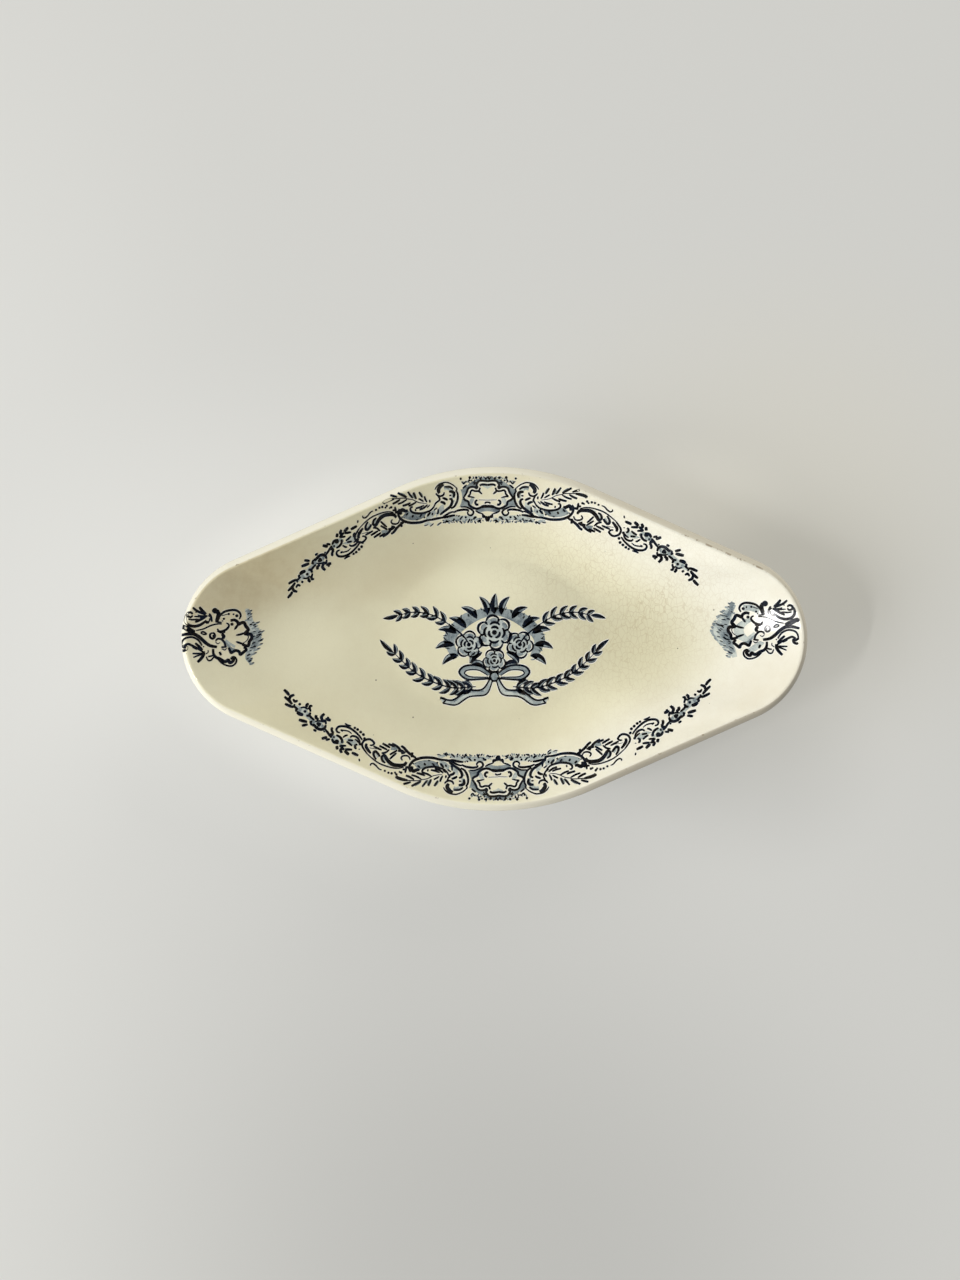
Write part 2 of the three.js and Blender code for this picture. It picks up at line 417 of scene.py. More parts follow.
def makeCrazingGroup():  # fine cracks in the glaze, in patches
    s = crackShape
    tree, given, result = newGroup("crazing", {"Cells per metre": 420.0, "Crack width": 0.05}, ["Cracks"])
    place = onObject(tree)
    warp = add(tree, "ShaderNodeTexNoise", Vector=place, **s["warp"]).outputs["Color"]
    moved = add(tree, "ShaderNodeVectorMath", {"operation": "MULTIPLY_ADD"},
                i0=warp, i1=s["warpBy"], i2=place).outputs[0]
    moved = add(tree, "ShaderNodeVectorMath", {"operation": "MULTIPLY"},
                i0=moved, i1=s["stretch"]).outputs[0]
    cracks = []
    for cells, width in s["sizes"]:
        cell = add(tree, "ShaderNodeTexVoronoi", {"feature": "DISTANCE_TO_EDGE"}, Vector=moved,
                   Scale=times(tree, given[0], cells))
        near = mathNode(tree, "DIVIDE", cell.outputs["Distance"], times(tree, given[1], width))
        cracks.append(ramp(tree, near, *s["edge"], 1.0, 0.0))
    patchy = ramp(tree, noise(tree, place, **s["patches"]), *s["patchy"])
    fine = times(tree, cracks[0], timesAdd(tree, patchy, *s["patchLevels"]))
    tree.links.new(mathNode(tree, "MAXIMUM", fine, times(tree, cracks[1], s["coarse"])), result[0])
    return tree


stainShape = {
    "wide": {"Detail": 5.0, "Roughness": 0.55, "Distortion": 0.4}, "stained": (0.48, 0.78),
    "fine": {"Scale": 190.0, "Detail": 4.0, "Roughness": 0.65}, "mottled": (0.35, 0.7),
    "speckScale": 70.0, "speckChosen": (0.68, 0.70), "speckSize": 0.022, "speckEdge": (-0.004, 0.006),
}


def makeStainGroup():  # old tea-coloured staining and a few dark specks
    s = stainShape
    tree, given, result = newGroup("oldStains", {"Patch scale": 14.0}, ["Stain", "Mottle", "Specks"])
    place = onObject(tree)
    wide = noise(tree, place, Scale=given[0], **s["wide"])
    tree.links.new(ramp(tree, wide, *s["stained"]), result["Stain"])
    tree.links.new(ramp(tree, noise(tree, place, **s["fine"]), *s["mottled"]), result["Mottle"])
    spots = add(tree, "ShaderNodeTexVoronoi", {"feature": "F1", "voronoi_dimensions": "2D"}, Vector=place,
                Scale=s["speckScale"]).outputs
    chance = add(tree, "ShaderNodeSeparateColor", Color=spots["Color"]).outputs
    past = mathNode(tree, "SUBTRACT", spots["Distance"], times(tree, chance[1], s["speckSize"]))
    speck = ramp(tree, past, *s["speckEdge"], 1.0, 0.0)
    tree.links.new(times(tree, speck, ramp(tree, chance[0], *s["speckChosen"])), result["Specks"])
    return tree


patchEdge = (0.1, 1.0)  # where a soft patch starts to fade and where it ends, as shares of its half sizes


def makePatchGroup():  # a soft oval patch in plan, placed in metres
    sockets = {"X": 0.1, "Y": 0.1, "Half length": 0.1, "Half width": 0.1, "Slope": 0.0}
    tree, given, result = newGroup("softPatch", sockets, ["Mask"])
    x, y = axesOf(tree, onObject(tree))[:2]
    along = mathNode(tree, "SUBTRACT", x, given["X"])
    away = mathNode(tree, "SUBTRACT", y, given["Y"])
    away = mathNode(tree, "SUBTRACT", away, times(tree, along, given["Slope"]))
    along = mathNode(tree, "DIVIDE", along, given["Half length"])
    away = mathNode(tree, "DIVIDE", away, given["Half width"])
    far = mathNode(tree, "SQRT", timesAdd(tree, along, along, times(tree, away, away)))
    tree.links.new(ramp(tree, far, *patchEdge, 1.0, 0.0), result[0])
    return tree


softPatch = makePatchGroup()
crazing = makeCrazingGroup()
oldStains = makeStainGroup()


def newMaterial(name, roughness, colour):
    material = bpy.data.materials.new(name)
    material.use_nodes = True
    material.diffuse_color = (*colour, 1)
    tree = material.node_tree
    shader = tree.nodes["Principled BSDF"].inputs
    shader["Roughness"].default_value = roughness
    shader["IOR"].default_value = surfaceIor
    return material, tree, shader


glazeFinish = {
    "cream": (0.86, 0.822, 0.600), "windowLitCream": (0.90, 0.88, 0.765), "litPatchCream": (0.94, 0.90, 0.66),
    "stain": (0.60, 0.50, 0.30), "used": (0.66, 0.62, 0.42), "speck": (0.10, 0.075, 0.05),
    "windowLitAlong": (-0.02, 0.06), "windowLitUpWall": (0.2, 0.85),  # painted light: whiter towards the right end and up the wall, where it faces the window
    "patchScale": 13.0, "stained": 0.30, "mottled": 0.07, "usedFloor": 0.29, "specked": 0.8,
    "patches": (  # steady amount, more of it in the mottle, colour and place
        # partly real staining and partly painted shade: browner and darker over the upper-left wall
        (0.58, 0.18, "stain",
         {"X": -0.092, "Y": 0.022, "Half_length": 0.045, "Half_width": 0.030, "Slope": 0.4}),
        (0.30, 0.0, "stain",
         {"X": -0.035, "Y": 0.029, "Half_length": 0.036, "Half_width": 0.018, "Slope": 0.3}),
        # painted shade: a darker patch at the foot of the right wall
        (0.66, 0.0, "used", {"X": 0.054, "Y": -0.003, "Half_length": 0.042, "Half_width": 0.028}),
        # painted shade: a darker patch on the lower-left wall
        (0.34, 0.0, "used",
         {"X": -0.070, "Y": -0.031, "Half_length": 0.036, "Half_width": 0.016, "Slope": -0.45}),
        # painted light: lighter patches on the back wall and at the left end
        (0.85, 0.0, "litPatchCream", {"X": 0.0, "Y": 0.023, "Half_length": 0.034, "Half_width": 0.018}),
        (0.85, 0.0, "litPatchCream", {"X": -0.074, "Y": -0.001, "Half_length": 0.024, "Half_width": 0.026}),
    ),
    "crack": (0.42, 0.30, 0.14), "cracks": {"Cells_per_metre": 500.0, "Crack_width": 0.06},
    "crazed": {"X": 0.048, "Y": 0.017, "Half_length": 0.062, "Half_width": 0.055},
    "crazedLevels": (0.30, 0.04),
    # painted light and shade on the lip: light where it faces the window at the left, grey-brown shade
    # towards the right end, a lighter shade at the back
    "lip": (0.85, 0.82, 0.68), "lipShade": (0.58, 0.53, 0.42), "lipShadeBack": (0.69, 0.642, 0.51),
    "lipShadeFrontToBack": (-0.015, 0.025), "lipLitToShade": (-0.008, 0.055),
    "grime": (0.25, 0.18, 0.10), "grimeGrain": {"Scale": 420.0, "Detail": 3.0, "Roughness": 0.7},
    "grimeFrom": (0.59, 0.68), "grimeOnRim": (0.35, 0.8), "grimy": 0.7,
    "wornLip": {"X": 0.085, "Y": 0.034, "Half_length": 0.045, "Half_width": 0.03},
    "wornLevels": (0.10, -0.02),
    "roughness": 0.12, "mottleRough": (0.05, 0.09), "grimeRough": 0.35,
    "wave": {"Scale": 70.0, "Detail": 2.0}, "crackDepth": -0.02,
    "bump": {"Strength": 0.12, "Distance": 0.0006},
}


def makeGlazeMaterial():
    c = glazeFinish
    material, tree, shader = newMaterial("creamGlaze", c["roughness"], c["cream"])
    stains = useGroup(tree, oldStains, Patch_scale=c["patchScale"])
    cracks = useGroup(tree, crazing, **c["cracks"])["Cracks"]
    place = onObject(tree)
    along, away = axesOf(tree, place)[:2]
    rim, used, high, lip = (add(tree, "ShaderNodeAttribute", {"attribute_name": name}).outputs["Fac"]
                            for name in ("rim", "used", "high", "lip"))
    # painted light: the cream turns whiter towards the right end and up the wall, where it faces the window
    windowLit = times(tree, ramp(tree, along, *c["windowLitAlong"]), ramp(tree, high, *c["windowLitUpWall"]))
    colour = mixColour(tree, windowLit, c["cream"], c["windowLitCream"])
    colour = tint(tree, colour, stains["Stain"], c["stained"], c["stain"])
    colour = tint(tree, colour, stains["Mottle"], c["mottled"], c["stain"])
    # darker over the floor and the lower half of the wall
    colour = tint(tree, colour, ramp(tree, used, 0.0, 1.0), c["usedFloor"], c["used"])
    for steady, more, name, where in c["patches"]:
        amount = timesAdd(tree, stains["Mottle"], more, steady)
        colour = tint(tree, colour, patch(tree, where), amount, c[name])
    crazed = timesAdd(tree, patch(tree, c["crazed"]), *c["crazedLevels"])
    colour = tint(tree, colour, cracks, crazed, c["crack"])
    colour = tint(tree, colour, stains["Specks"], c["specked"], c["speck"])
    # painted light and shade: the lip is light on the left and shaded towards the right end
    lipLightAndShade = mixColour(tree, ramp(tree, away, *c["lipShadeFrontToBack"]), c["lipShade"], c["lipShadeBack"])
    lipLightAndShade = mixColour(tree, ramp(tree, along, *c["lipLitToShade"]), c["lip"], lipLightAndShade)
    colour = mixColour(tree, lip, colour, lipLightAndShade)
    worn = timesAdd(tree, patch(tree, c["wornLip"]), *c["wornLevels"])
    dirt = mathNode(tree, "ADD", noise(tree, place, **c["grimeGrain"]), worn)
    dirty = times(tree, ramp(tree, dirt, *c["grimeFrom"]), ramp(tree, rim, *c["grimeOnRim"]))
    tree.links.new(tint(tree, colour, dirty, c["grimy"], c["grime"]), shader["Base Color"])
    rough = timesAdd(tree, stains["Mottle"], *c["mottleRough"])
    tree.links.new(timesAdd(tree, dirty, c["grimeRough"], rough), shader["Roughness"])
    pits = timesAdd(tree, cracks, c["crackDepth"], noise(tree, place, **c["wave"]))
    tree.links.new(add(tree, "ShaderNodeBump", Height=pits, **c["bump"]).outputs[0], shader["Normal"])
    return material


footFinish = {
    "clay": (0.56, 0.45, 0.29), "pale": (0.66, 0.57, 0.42), "paleFrom": (0.4, 0.65),
    "grain": {"Scale": 900.0, "Detail": 5.0, "Roughness": 0.7},
    "dust": (0.33, 0.25, 0.16), "patchScale": 45.0, "dusty": 0.8,
    "roughness": 0.85, "grainRough": (0.2, 0.7), "bump": {"Strength": 0.4, "Distance": 0.0002},
}


def makeFootMaterial():
    c = footFinish
    material, tree, shader = newMaterial("bareClayFoot", c["roughness"], c["clay"])
    stain = useGroup(tree, oldStains, Patch_scale=c["patchScale"])["Stain"]
    grain = noise(tree, onObject(tree), **c["grain"])
    colour = mixColour(tree, ramp(tree, grain, *c["paleFrom"]), c["clay"], c["pale"])
    tree.links.new(tint(tree, colour, stain, c["dusty"], c["dust"]), shader["Base Color"])
    tree.links.new(add(tree, "ShaderNodeBump", Height=grain, **c["bump"]).outputs[0], shader["Normal"])
    tree.links.new(timesAdd(tree, grain, *c["grainRough"]), shader["Roughness"])
    return material


inkFinish = {
    "roughness": 0.12, "grainRough": (0.04, 0.06), "shine": 0.13,
    "cracks": {"Cells_per_metre": 430.0, "Crack_width": 0.05}, "cracked": 0.05,
    "cloudDetail": 2.0, "cloudShare": 0.6, "grain": {"Detail": 3.0, "Roughness": 0.6}, "grainShare": 0.4,
    "darkInk": {"deep": (0.0012, 0.002, 0.004), "thin": (0.004, 0.009, 0.021), "thinFrom": (0.45, 0.6),
                "cloudScale": 300.0, "grainScale": 1500.0},
    "midWash": {"deep": (0.115, 0.147, 0.170), "thin": (0.32, 0.37, 0.375), "thinFrom": (0.36, 0.58),
                "cloudScale": 260.0, "grainScale": 2600.0},
    "paleWash": {"deep": (0.33, 0.38, 0.385), "thin": (0.59, 0.635, 0.585), "thinFrom": (0.38, 0.6),
                 "cloudScale": 260.0, "grainScale": 2600.0},
    # painted light and shade of the halo: darker at the left end, lighter at the right end
    "haloShadedLeft": (0.80, 0.77, 0.61), "haloLitRight": (0.90, 0.89, 0.815), "haloShadeToLit": (-0.09, 0.03),
}


def makeInkMaterial(name):  # stippled tone that thins in patches
    c, tone = inkFinish, inkFinish[name]
    material, tree, shader = newMaterial(name, c["roughness"], tone["deep"])
    cracks = useGroup(tree, crazing, **c["cracks"])["Cracks"]
    place = onObject(tree)
    grain = noise(tree, place, Scale=tone["grainScale"], **c["grain"])
    cloud = noise(tree, place, Scale=tone["cloudScale"], Detail=c["cloudDetail"])
    mixed = timesAdd(tree, cloud, c["cloudShare"], times(tree, grain, c["grainShare"]))
    colour = mixColour(tree, ramp(tree, mixed, *tone["thinFrom"]), tone["deep"], tone["thin"])
    tree.links.new(tint(tree, colour, cracks, c["cracked"], glazeFinish["crack"]), shader["Base Color"])
    tree.links.new(timesAdd(tree, grain, *c["grainRough"]), shader["Roughness"])
    shader["Specular IOR Level"].default_value = c["shine"]
    return material


def makeEdgeMaterial():  # painted light: a lighter halo of glaze beside the dark lines, darker towards the left end and lighter towards the right end as the light falls
    c = inkFinish
    material, tree, shader = newMaterial("paintedHalo", c["roughness"], c["haloLitRight"])
    along = axesOf(tree, onObject(tree))[0]
    cracks = useGroup(tree, crazing, **glazeFinish["cracks"])["Cracks"]
    colour = mixColour(tree, ramp(tree, along, *c["haloShadeToLit"]), c["haloShadedLeft"], c["haloLitRight"])
    tree.links.new(tint(tree, colour, cracks, c["cracked"], glazeFinish["crack"]), shader["Base Color"])
    return material


creamGlaze = makeGlazeMaterial()
bareClay = makeFootMaterial()
printTones = [makeInkMaterial(name) for name in ("darkInk", "midWash", "paleWash")] + [makeEdgeMaterial()]
for piece, material in ((glazedDish, creamGlaze), (recessGlaze, creamGlaze), (footRing, bareClay)):
    piece.data.materials.append(material)
print("materials made")


# Drawing tools for the print: every mark is a strip of quads in plan millimetres
ink, mid, pale, haloTone = range(4)  # dark ink, mid wash, pale wash, and a painted light halo beside the ink
toneLift = (0.064, 0.038, 0.024, 0.012)  # millimetres of each above the glaze
haloWidth = 0.30  # millimetres of painted light halo beside every dark mark
penWidth = 0.80  # millimetres
drawing = {
    "spanSteps": 7, "arcSteps": 2, "denseSteps": 12, "roundSteps": 7,  # between two points, and on a round
    "swell": 0.6, "leastStep": 1e-9, "leastWidth": 1e-6,
}


class Plate:  # the marks of one print, drawn motif by motif
    def __init__(self, name, place):
        self.name, self.place = name, place
        self.strips = []  # (left edge, right edge, tone)
        self.chance = random.Random(len(name) * 7 + 3)  # draws the same each run
        self.shifts = {}
        self.motif((0, 0), 1.0, 1)

    def motif(self, corner, size, up=-1):  # the next marks are drawn in small units from this corner
        self.corner, self.size = np.asarray(corner, float), np.array((size, up * size))
        self.pen = penWidth / size

    def strip(self, left, right, tone):
        left, right = (self.place(self.corner + np.asarray(q, float) * self.size) for q in (left, right))
        self.strips.append((left, right, tone))


def smooth(points, steps=drawing["spanSteps"]):  # rounded line through the points
    p = np.asarray(points, float)
    if len(p) == 2:
        return p[0] + (p[1] - p[0]) * np.linspace(0, 1, steps)[:, None]
    p = np.vstack([2 * p[0] - p[1], p, 2 * p[-1] - p[-2]])
    t = np.linspace(0, 1, steps, endpoint=False)[:, None]
    out = []
    for a, b, c, d in zip(p, p[1:], p[2:], p[3:]):
        out.append(0.5 * (2 * b + (c - a) * t + (2 * a - 5 * b + 4 * c - d) * t ** 2
                          + (3 * b - a - 3 * c + d) * t ** 3))
    return np.vstack(out + [p[-2][None]])


def sides(path, width):
    along = np.gradient(path, axis=0)
    along /= np.maximum(np.hypot(along[:, 0], along[:, 1]), drawing["leastStep"])[:, None]
    across = np.stack([-along[:, 1], along[:, 0]], -1) * np.asarray(width)[:, None] / 2
    return path + across, path - across


def pointAt(turn):
    return np.stack([np.cos(turn), np.sin(turn)], -1)


def line(plate, points, width, ends, tone=ink, steps=drawing["spanSteps"]):
    path = smooth(points, steps)
    t = np.linspace(0, 1, len(path))
    end = np.where(t < 0.5, *ends)  # the line swells in the middle
    plate.strip(*sides(path, width * (end + (1 - end) * np.sin(np.pi * t) ** drawing["swell"])), tone)


def band(plate, one, two, tone, across=1):  # tone between two lines
    a, b = smooth(one), smooth(two)
    t = np.linspace(0, 1, max(len(a), len(b)))
    a, b = (np.stack([np.interp(t, np.linspace(0, 1, len(q)), side) for side in q.T], -1) for q in (a, b))
    for i in range(across):
        plate.strip(a + (b - a) * i / across, a + (b - a) * (i + 1) / across, tone)


leafShape = {"steps": 9, "widest": 0.85, "fullness": 0.8, "least": 0.1, "edge": 0.12}


def leaf(plate, root, tip, width, bend, dark=0.8):  # dark leaf with a toned side and a fine edge
    s = leafShape
    root, tip = np.asarray(root, float), np.asarray(tip, float)
    way = tip - root
    side = np.array([-way[1], way[0]])
    t = np.linspace(0, 1, s["steps"])
    path = root + way * t[:, None] + side * (bend * np.sin(np.pi * t))[:, None]
    full = np.sin(np.pi * t ** s["widest"]) ** s["fullness"]
    left, right = sides(path, width * full + width * s["least"])
    plate.strip(left, right, mid)
    plate.strip(left, left + (right - left) * dark, ink)
    plate.strip(right + (left - right) * s["edge"], right, ink)


def dot(plate, centre, radius, tone=ink):
    t = np.linspace(0, np.pi, drawing["roundSteps"])
    c = np.asarray(centre, float)
    plate.strip(c + radius * pointAt(t), c + radius * pointAt(-t), tone)


def strokes(plate, marks, ends=(0.6, 0.6)):  # each mark is a width in pens and its points
    for width, *points in marks:
        line(plate, points, width * plate.pen, ends)


def dots(plate, marks, tone=ink):
    for x, y, radius in marks:
        dot(plate, (x, y), radius, tone)


sprayShape = {
    "stemSteps": 10, "stem": 0.3, "stemEnds": (0.8, 0.4),
    "sway": 0.12, "sizes": (0.85, 1.1), "shrink": 0.25, "bend": 0.1, "dark": 0.66,
    "lastBack": 0.2, "lastSize": 1.25, "lastBend": 0.05,
}


def spray(plate, points, count, size, width, spread):  # laurel: paired leaves along a stem
    s = sprayShape
    path = smooth(points, s["stemSteps"])
    end = len(path) - 1
    line(plate, points, width * s["stem"], s["stemEnds"])
    for i in range(count):
        f = (i + 0.5) / count
        k = int(f * end)
        at = path[k] + (path[min(k + 1, end)] - path[k]) * (f * end % 1)
        way = path[min(k + 2, end)] - path[max(k - 1, 0)]
        turn = math.atan2(way[1], way[0])
        for sideSign in (1, -1):
            a = turn + sideSign * (spread + plate.chance.uniform(-s["sway"], s["sway"]))
            long = size * plate.chance.uniform(*s["sizes"]) * (1 - s["shrink"] * f)
            leaf(plate, at, at + long * pointAt(a), width, s["bend"] * sideSign, s["dark"])
    way = path[-1] - path[-3]
    tip = path[-1] + way / np.hypot(*way) * size * s["lastSize"]
    leaf(plate, path[-1] - way * s["lastBack"], tip, width, s["lastBend"])


arcEnds = (0.35, 0.35)


def arc(plate, centre, radius, start, stop, width, tone=ink, bulge=0.0):
    steps = drawing["roundSteps"]
    reach = radius * (1 + bulge * np.sin(np.linspace(0, np.pi, steps)))
    points = np.asarray(centre, float) + reach[:, None] * pointAt(np.linspace(start, stop, steps))
    line(plate, points, width, arcEnds, tone, drawing["arcSteps"])


roseShape = {  # shares of the rose's radius, and of the turn that one petal takes
    "ground": 0.88, "petalReach": 0.84, "petalTurn": 0.92, "petalWidth": 0.16, "petalBulge": 0.22,
    "shadeReach": 0.68, "shadeTurn": (0.15, 0.6), "shadeWidth": 0.26, "shadeBulge": 0.1,
    "fold": (0.86, 0.6), "foldWidth": 0.15, "foldEnds": (0.9, 0.2), "foldSteps": 3,
    "heart": ((0.54, 4, 0.16), (0.3, 3, 0.17)),  # rings of inner petals: reach, how many, and line width
    "heartTurn": 4.6, "heartBulge": 0.12, "eye": 0.15,
}


def rose(plate, centre, radius, turn, petals=5):  # outlined petals, shaded on one side, dark heart
    s, c = roseShape, np.asarray(centre, float)
    dot(plate, c, radius * s["ground"], pale)
    step = 2 * math.pi / petals
    for i in range(petals):
        a = turn + i * step
        petal = (a, a + step * s["petalTurn"])
        arc(plate, c, radius * s["petalReach"], *petal, radius * s["petalWidth"], ink, s["petalBulge"])
        shade = [a + f * step for f in s["shadeTurn"]]
        arc(plate, c, radius * s["shadeReach"], *shade, radius * s["shadeWidth"], mid, s["shadeBulge"])
        fold = [c + pointAt(a) * radius * f for f in s["fold"]]
        line(plate, fold, radius * s["foldWidth"], s["foldEnds"], ink, s["foldSteps"])
    for reach, count, wide in s["heart"]:
        for i in range(count):
            a = turn * 2 + reach + i * 2 * math.pi / count
            stop = a + s["heartTurn"] / count
            arc(plate, c, radius * reach, a, stop, radius * wide, ink, s["heartBulge"])
    dot(plate, c, radius * s["eye"])


featherShape = {
    "sizes": (0.6, 1.15), "rises": (0.4, 1.5), "widths": (0.7, 1.2),
    "bend": 0.12, "ends": (0.4, 0.2), "steps": 4,
}


def feathers(plate, points, count, long, rise, width, tones):  # strokes that all lean one way
    s = featherShape
    path = smooth(points, drawing["denseSteps"])
    for i in range(count):
        at = path[int((len(path) - 1) * (i + plate.chance.random()) / count)]
        size = plate.chance.uniform(*s["sizes"])
        end = at + np.array([long, rise * plate.chance.uniform(*s["rises"])]) * size
        middle = (at + end) / 2 + np.array([0, rise * s["bend"]])
        wide = width * plate.chance.uniform(*s["widths"])
        line(plate, [at, middle, end], wide, s["ends"], plate.chance.choice(tones), s["steps"])


fringeShape = {
    "lean": 0.7, "jitter": 0.5, "sizes": (0.6, 1.2), "widths": (0.7, 1.2),
    "bend": 0.08, "ends": (0.5, 0.15), "steps": 4,
}


def fringe(plate, points, count, long, width, tones):  # feathery edge
    s = fringeShape
    path = smooth(points, drawing["denseSteps"])
    for i in range(count):
        k = int((len(path) - 2) * (i + plate.chance.random()) / count)
        way = path[k + 1] - path[k]
        out = pointAt(math.atan2(way[1], way[0]) + math.pi / 2 + s["lean"] * plate.chance.uniform(-1, 1))
        start = path[k] + out * long * plate.chance.uniform(-s["jitter"], s["jitter"])
        end = start + out * long * plate.chance.uniform(*s["sizes"])
        middle = (start + end) / 2 + out[::-1] * long * s["bend"]
        wide = width * plate.chance.uniform(*s["widths"])
        line(plate, [start, middle, end], wide, s["ends"], plate.chance.choice(tones), s["steps"])


def beside(left, right):  # the painted light halo reaches past both edges of a mark
    out = left - right
    out = out / np.maximum(np.hypot(out[:, 0], out[:, 1]), drawing["leastWidth"])[:, None] * haloWidth
    return left + out, right - out


def printOnDish(plate):
    points, faces, tones, lifts = [], [], [], []
    count = 0
    edges = [(*beside(left, right), haloTone) for left, right, tone in plate.strips if tone == ink]
    for left, right, tone in plate.strips + edges:
        n = len(left)
        points += [left, right]
        lifts.append(np.full(2 * n, toneLift[tone]))
        faces += [[i, i + 1, n + i + 1, n + i] for i in range(count, count + n - 1)]
        tones += [tone] * (n - 1)
        count += 2 * n
    plan, lift = np.vstack(points), np.concatenate(lifts)
    place, facing = onDish(plan, lift[:, None])
    flat = np.asarray(faces)
    x, y = (plan[flat, k] for k in (0, 1))
    area = (x * np.roll(y, -1, 1) - np.roll(x, -1, 1) * y).sum(1)
    flat[area < 0] = flat[area < 0][:, ::-1]  # every strip faces up
    mesh = newMesh(plate.name, place * mm, flat.tolist())
    for material in printTones:
        mesh.materials.append(material)
    mesh.polygons.foreach_set("material_index", tones)
    mesh.update()
    mesh.normals_split_custom_set_from_vertices([tuple(n) for n in facing])
    return newObject(plate.name, mesh)


# The long borders: shell, acanthus scrolls, laurel, beads and roses.
# One half is drawn, from the middle of the shell to the right, and mirrored.
borderMotifs = {  # corner of each motif in millimetres from the middle of the dish, and its drawing unit
    "shell": ((-3.23, 64.47), 0.01606), "volute": ((-3.23, 64.47), 0.01606),
    "greatScroll": ((13.31, 53.94), 0.013425), "upperLaurel": ((16.32, 61.46), 0.01582),
    "secondScroll": ((28.34, 52.44), 0.01678), "garland": ((48.64, 49.43), 0.02062),
}


def layOf(p, name):  # the prints were laid by hand, so each half has its own small shifts
    corner, size = borderMotifs[name]
    return np.add(corner, p.shifts.get(name, (0, 0))), size


def begin(p, name):
    p.motif(*layOf(p, name))


def spot(p, name, x, y):  # a point of a motif, in millimetres from the middle of the dish
    corner, size = layOf(p, name)
    return corner + np.array((x * size, -y * size))


def drawShell(p):
    begin(p, "shell")
    band(p, [(201, 225), (330, 220), (470, 250), (620, 330), (720, 410), (820, 480), (870, 480)],
         [(201, 300), (330, 290), (440, 330), (520, 434), (640, 440), (712, 545), (800, 685)],
         mid, across=2)
    band(p, [(690, 450), (730, 560), (800, 685)], [(850, 500), (835, 600), (825, 690)], mid)
    band(p, [(800, 690), (740, 745), (672, 800), (655, 860)],
         [(830, 700), (850, 800), (880, 870), (900, 900)], mid)
    band(p, [(655, 860), (560, 925), (470, 945)], [(860, 893), (700, 905), (570, 975)], mid)
    band(p, [(201, 900), (330, 915), (430, 945), (500, 965)],
         [(201, 1000), (300, 1010), (400, 1025), (480, 1000)], mid)
    band(p, [(201, 400), (280, 395), (330, 400)], [(201, 480), (250, 450), (300, 430)], pale)
    band(p, [(520, 700), (600, 690), (650, 760)], [(560, 800), (590, 840), (620, 860)], pale)
    band(p, [(480, 1110), (700, 1100), (1000, 1110), (1300, 1190)],
         [(400, 1230), (700, 1210), (1000, 1220), (1300, 1270)], pale)
    strokes(p, (  # edge and inner line of the shell
        (1.1, (201, 298), (310, 286), (395, 290), (440, 322), (476, 385), (455, 430), (474, 462),
         (520, 434), (610, 430), (680, 468), (712, 545), (745, 605), (800, 685)),
        (1.15, (800, 685), (755, 735), (690, 765), (664, 805), (655, 850), (600, 892), (540, 925),
         (470, 940), (400, 925), (350, 902), (290, 892), (201, 886)),
        (1.5, (201, 886), (290, 888), (345, 900)), (1.1, (201, 386), (290, 374), (345, 376), (392, 402)),
        (0.95, (385, 448), (402, 500), (425, 525), (500, 530), (578, 508), (618, 540), (628, 590),
         (660, 630), (692, 655)), (0.8, (201, 790), (245, 796), (268, 822)),
        (1.1, (425, 842), (470, 848), (502, 810), (495, 765), (450, 738)),
        (0.3, (201, 742), (330, 738), (420, 735))), (0.9, 0.8))
    strokes(p, ((0.95, (425, 525), (380, 560), (335, 600)), (0.8, (692, 655), (620, 660), (520, 682))),
            (0.9, 0.4))
    dots(p, ((375, 232, 32), (480, 215, 34), (640, 210, 34), (865, 235, 30), (520, 270, 18), (600, 282, 22),
             (655, 330, 14), (735, 300, 18), (300, 198, 14)))
    strokes(p, ((0.7, (205, 185), (240, 250), (275, 195)), (0.8, (735, 300), (790, 352), (835, 300)),
                (0.5, (640, 225), (670, 290), (650, 345)), (0.6, (510, 290), (560, 350)),
                (0.9, (715, 380), (770, 425), (815, 462)), (0.7, (455, 350), (500, 330), (540, 390))))
    strokes(p, (  # palmette and small marks under the shell
        (1.6, (201, 1240), (222, 1180), (240, 1115)), (1.2, (255, 1105), (300, 1135), (318, 1065)),
        (0.8, (318, 1062), (420, 1032), (500, 985)), (0.9, (360, 1224), (400, 1215), (450, 1255)),
        (1.1, (470, 1140), (515, 1150), (554, 1187)), (0.8, (637, 1177), (660, 1220), (690, 1276)),
        (0.8, (815, 1114), (850, 1150), (888, 1187)), (0.7, (893, 1088), (930, 1125)),
        (0.7, (1202, 1193), (1225, 1225), (1254, 1266)), (0.7, (1348, 1245), (1390, 1275), (1426, 1297))))
    dots(p, ((740, 1140, 28), (961, 1093, 18), (967, 1224, 20), (1029, 1182, 24), (852, 1255, 18),
             (1139, 1213, 14), (1301, 1198, 16)))
    strokes(p, (  # low scroll
        (1.0, (690, 1010), (690, 1055), (640, 1095), (580, 1082), (550, 1035), (562, 988), (640, 935),
         (740, 897), (860, 895)),
        (1.15, (668, 1012), (692, 972), (780, 958), (880, 968), (960, 985), (1045, 1025)),
        (1.2, (1000, 1088), (1100, 1098), (1200, 1122), (1290, 1142)),
        (1.0, (1040, 1000), (1130, 1025), (1200, 1060), (1285, 1110), (1290, 1140))))
    feathers(p, [(330, 1150), (600, 1180), (900, 1180), (1150, 1210), (1430, 1270)],
             count=30, long=46, rise=40, width=p.pen * 0.7, tones=(mid, mid, pale, ink))
    feathers(p, [(300, 1200), (600, 1230), (900, 1220), (1200, 1240)],
             count=16, long=-40, rise=44, width=p.pen * 0.7, tones=(mid, mid, ink))
    feathers(p, [(215, 235), (400, 225), (560, 250), (700, 330), (850, 330)],
             count=17, long=30, rise=-46, width=p.pen * 0.75, tones=(mid, mid, ink))


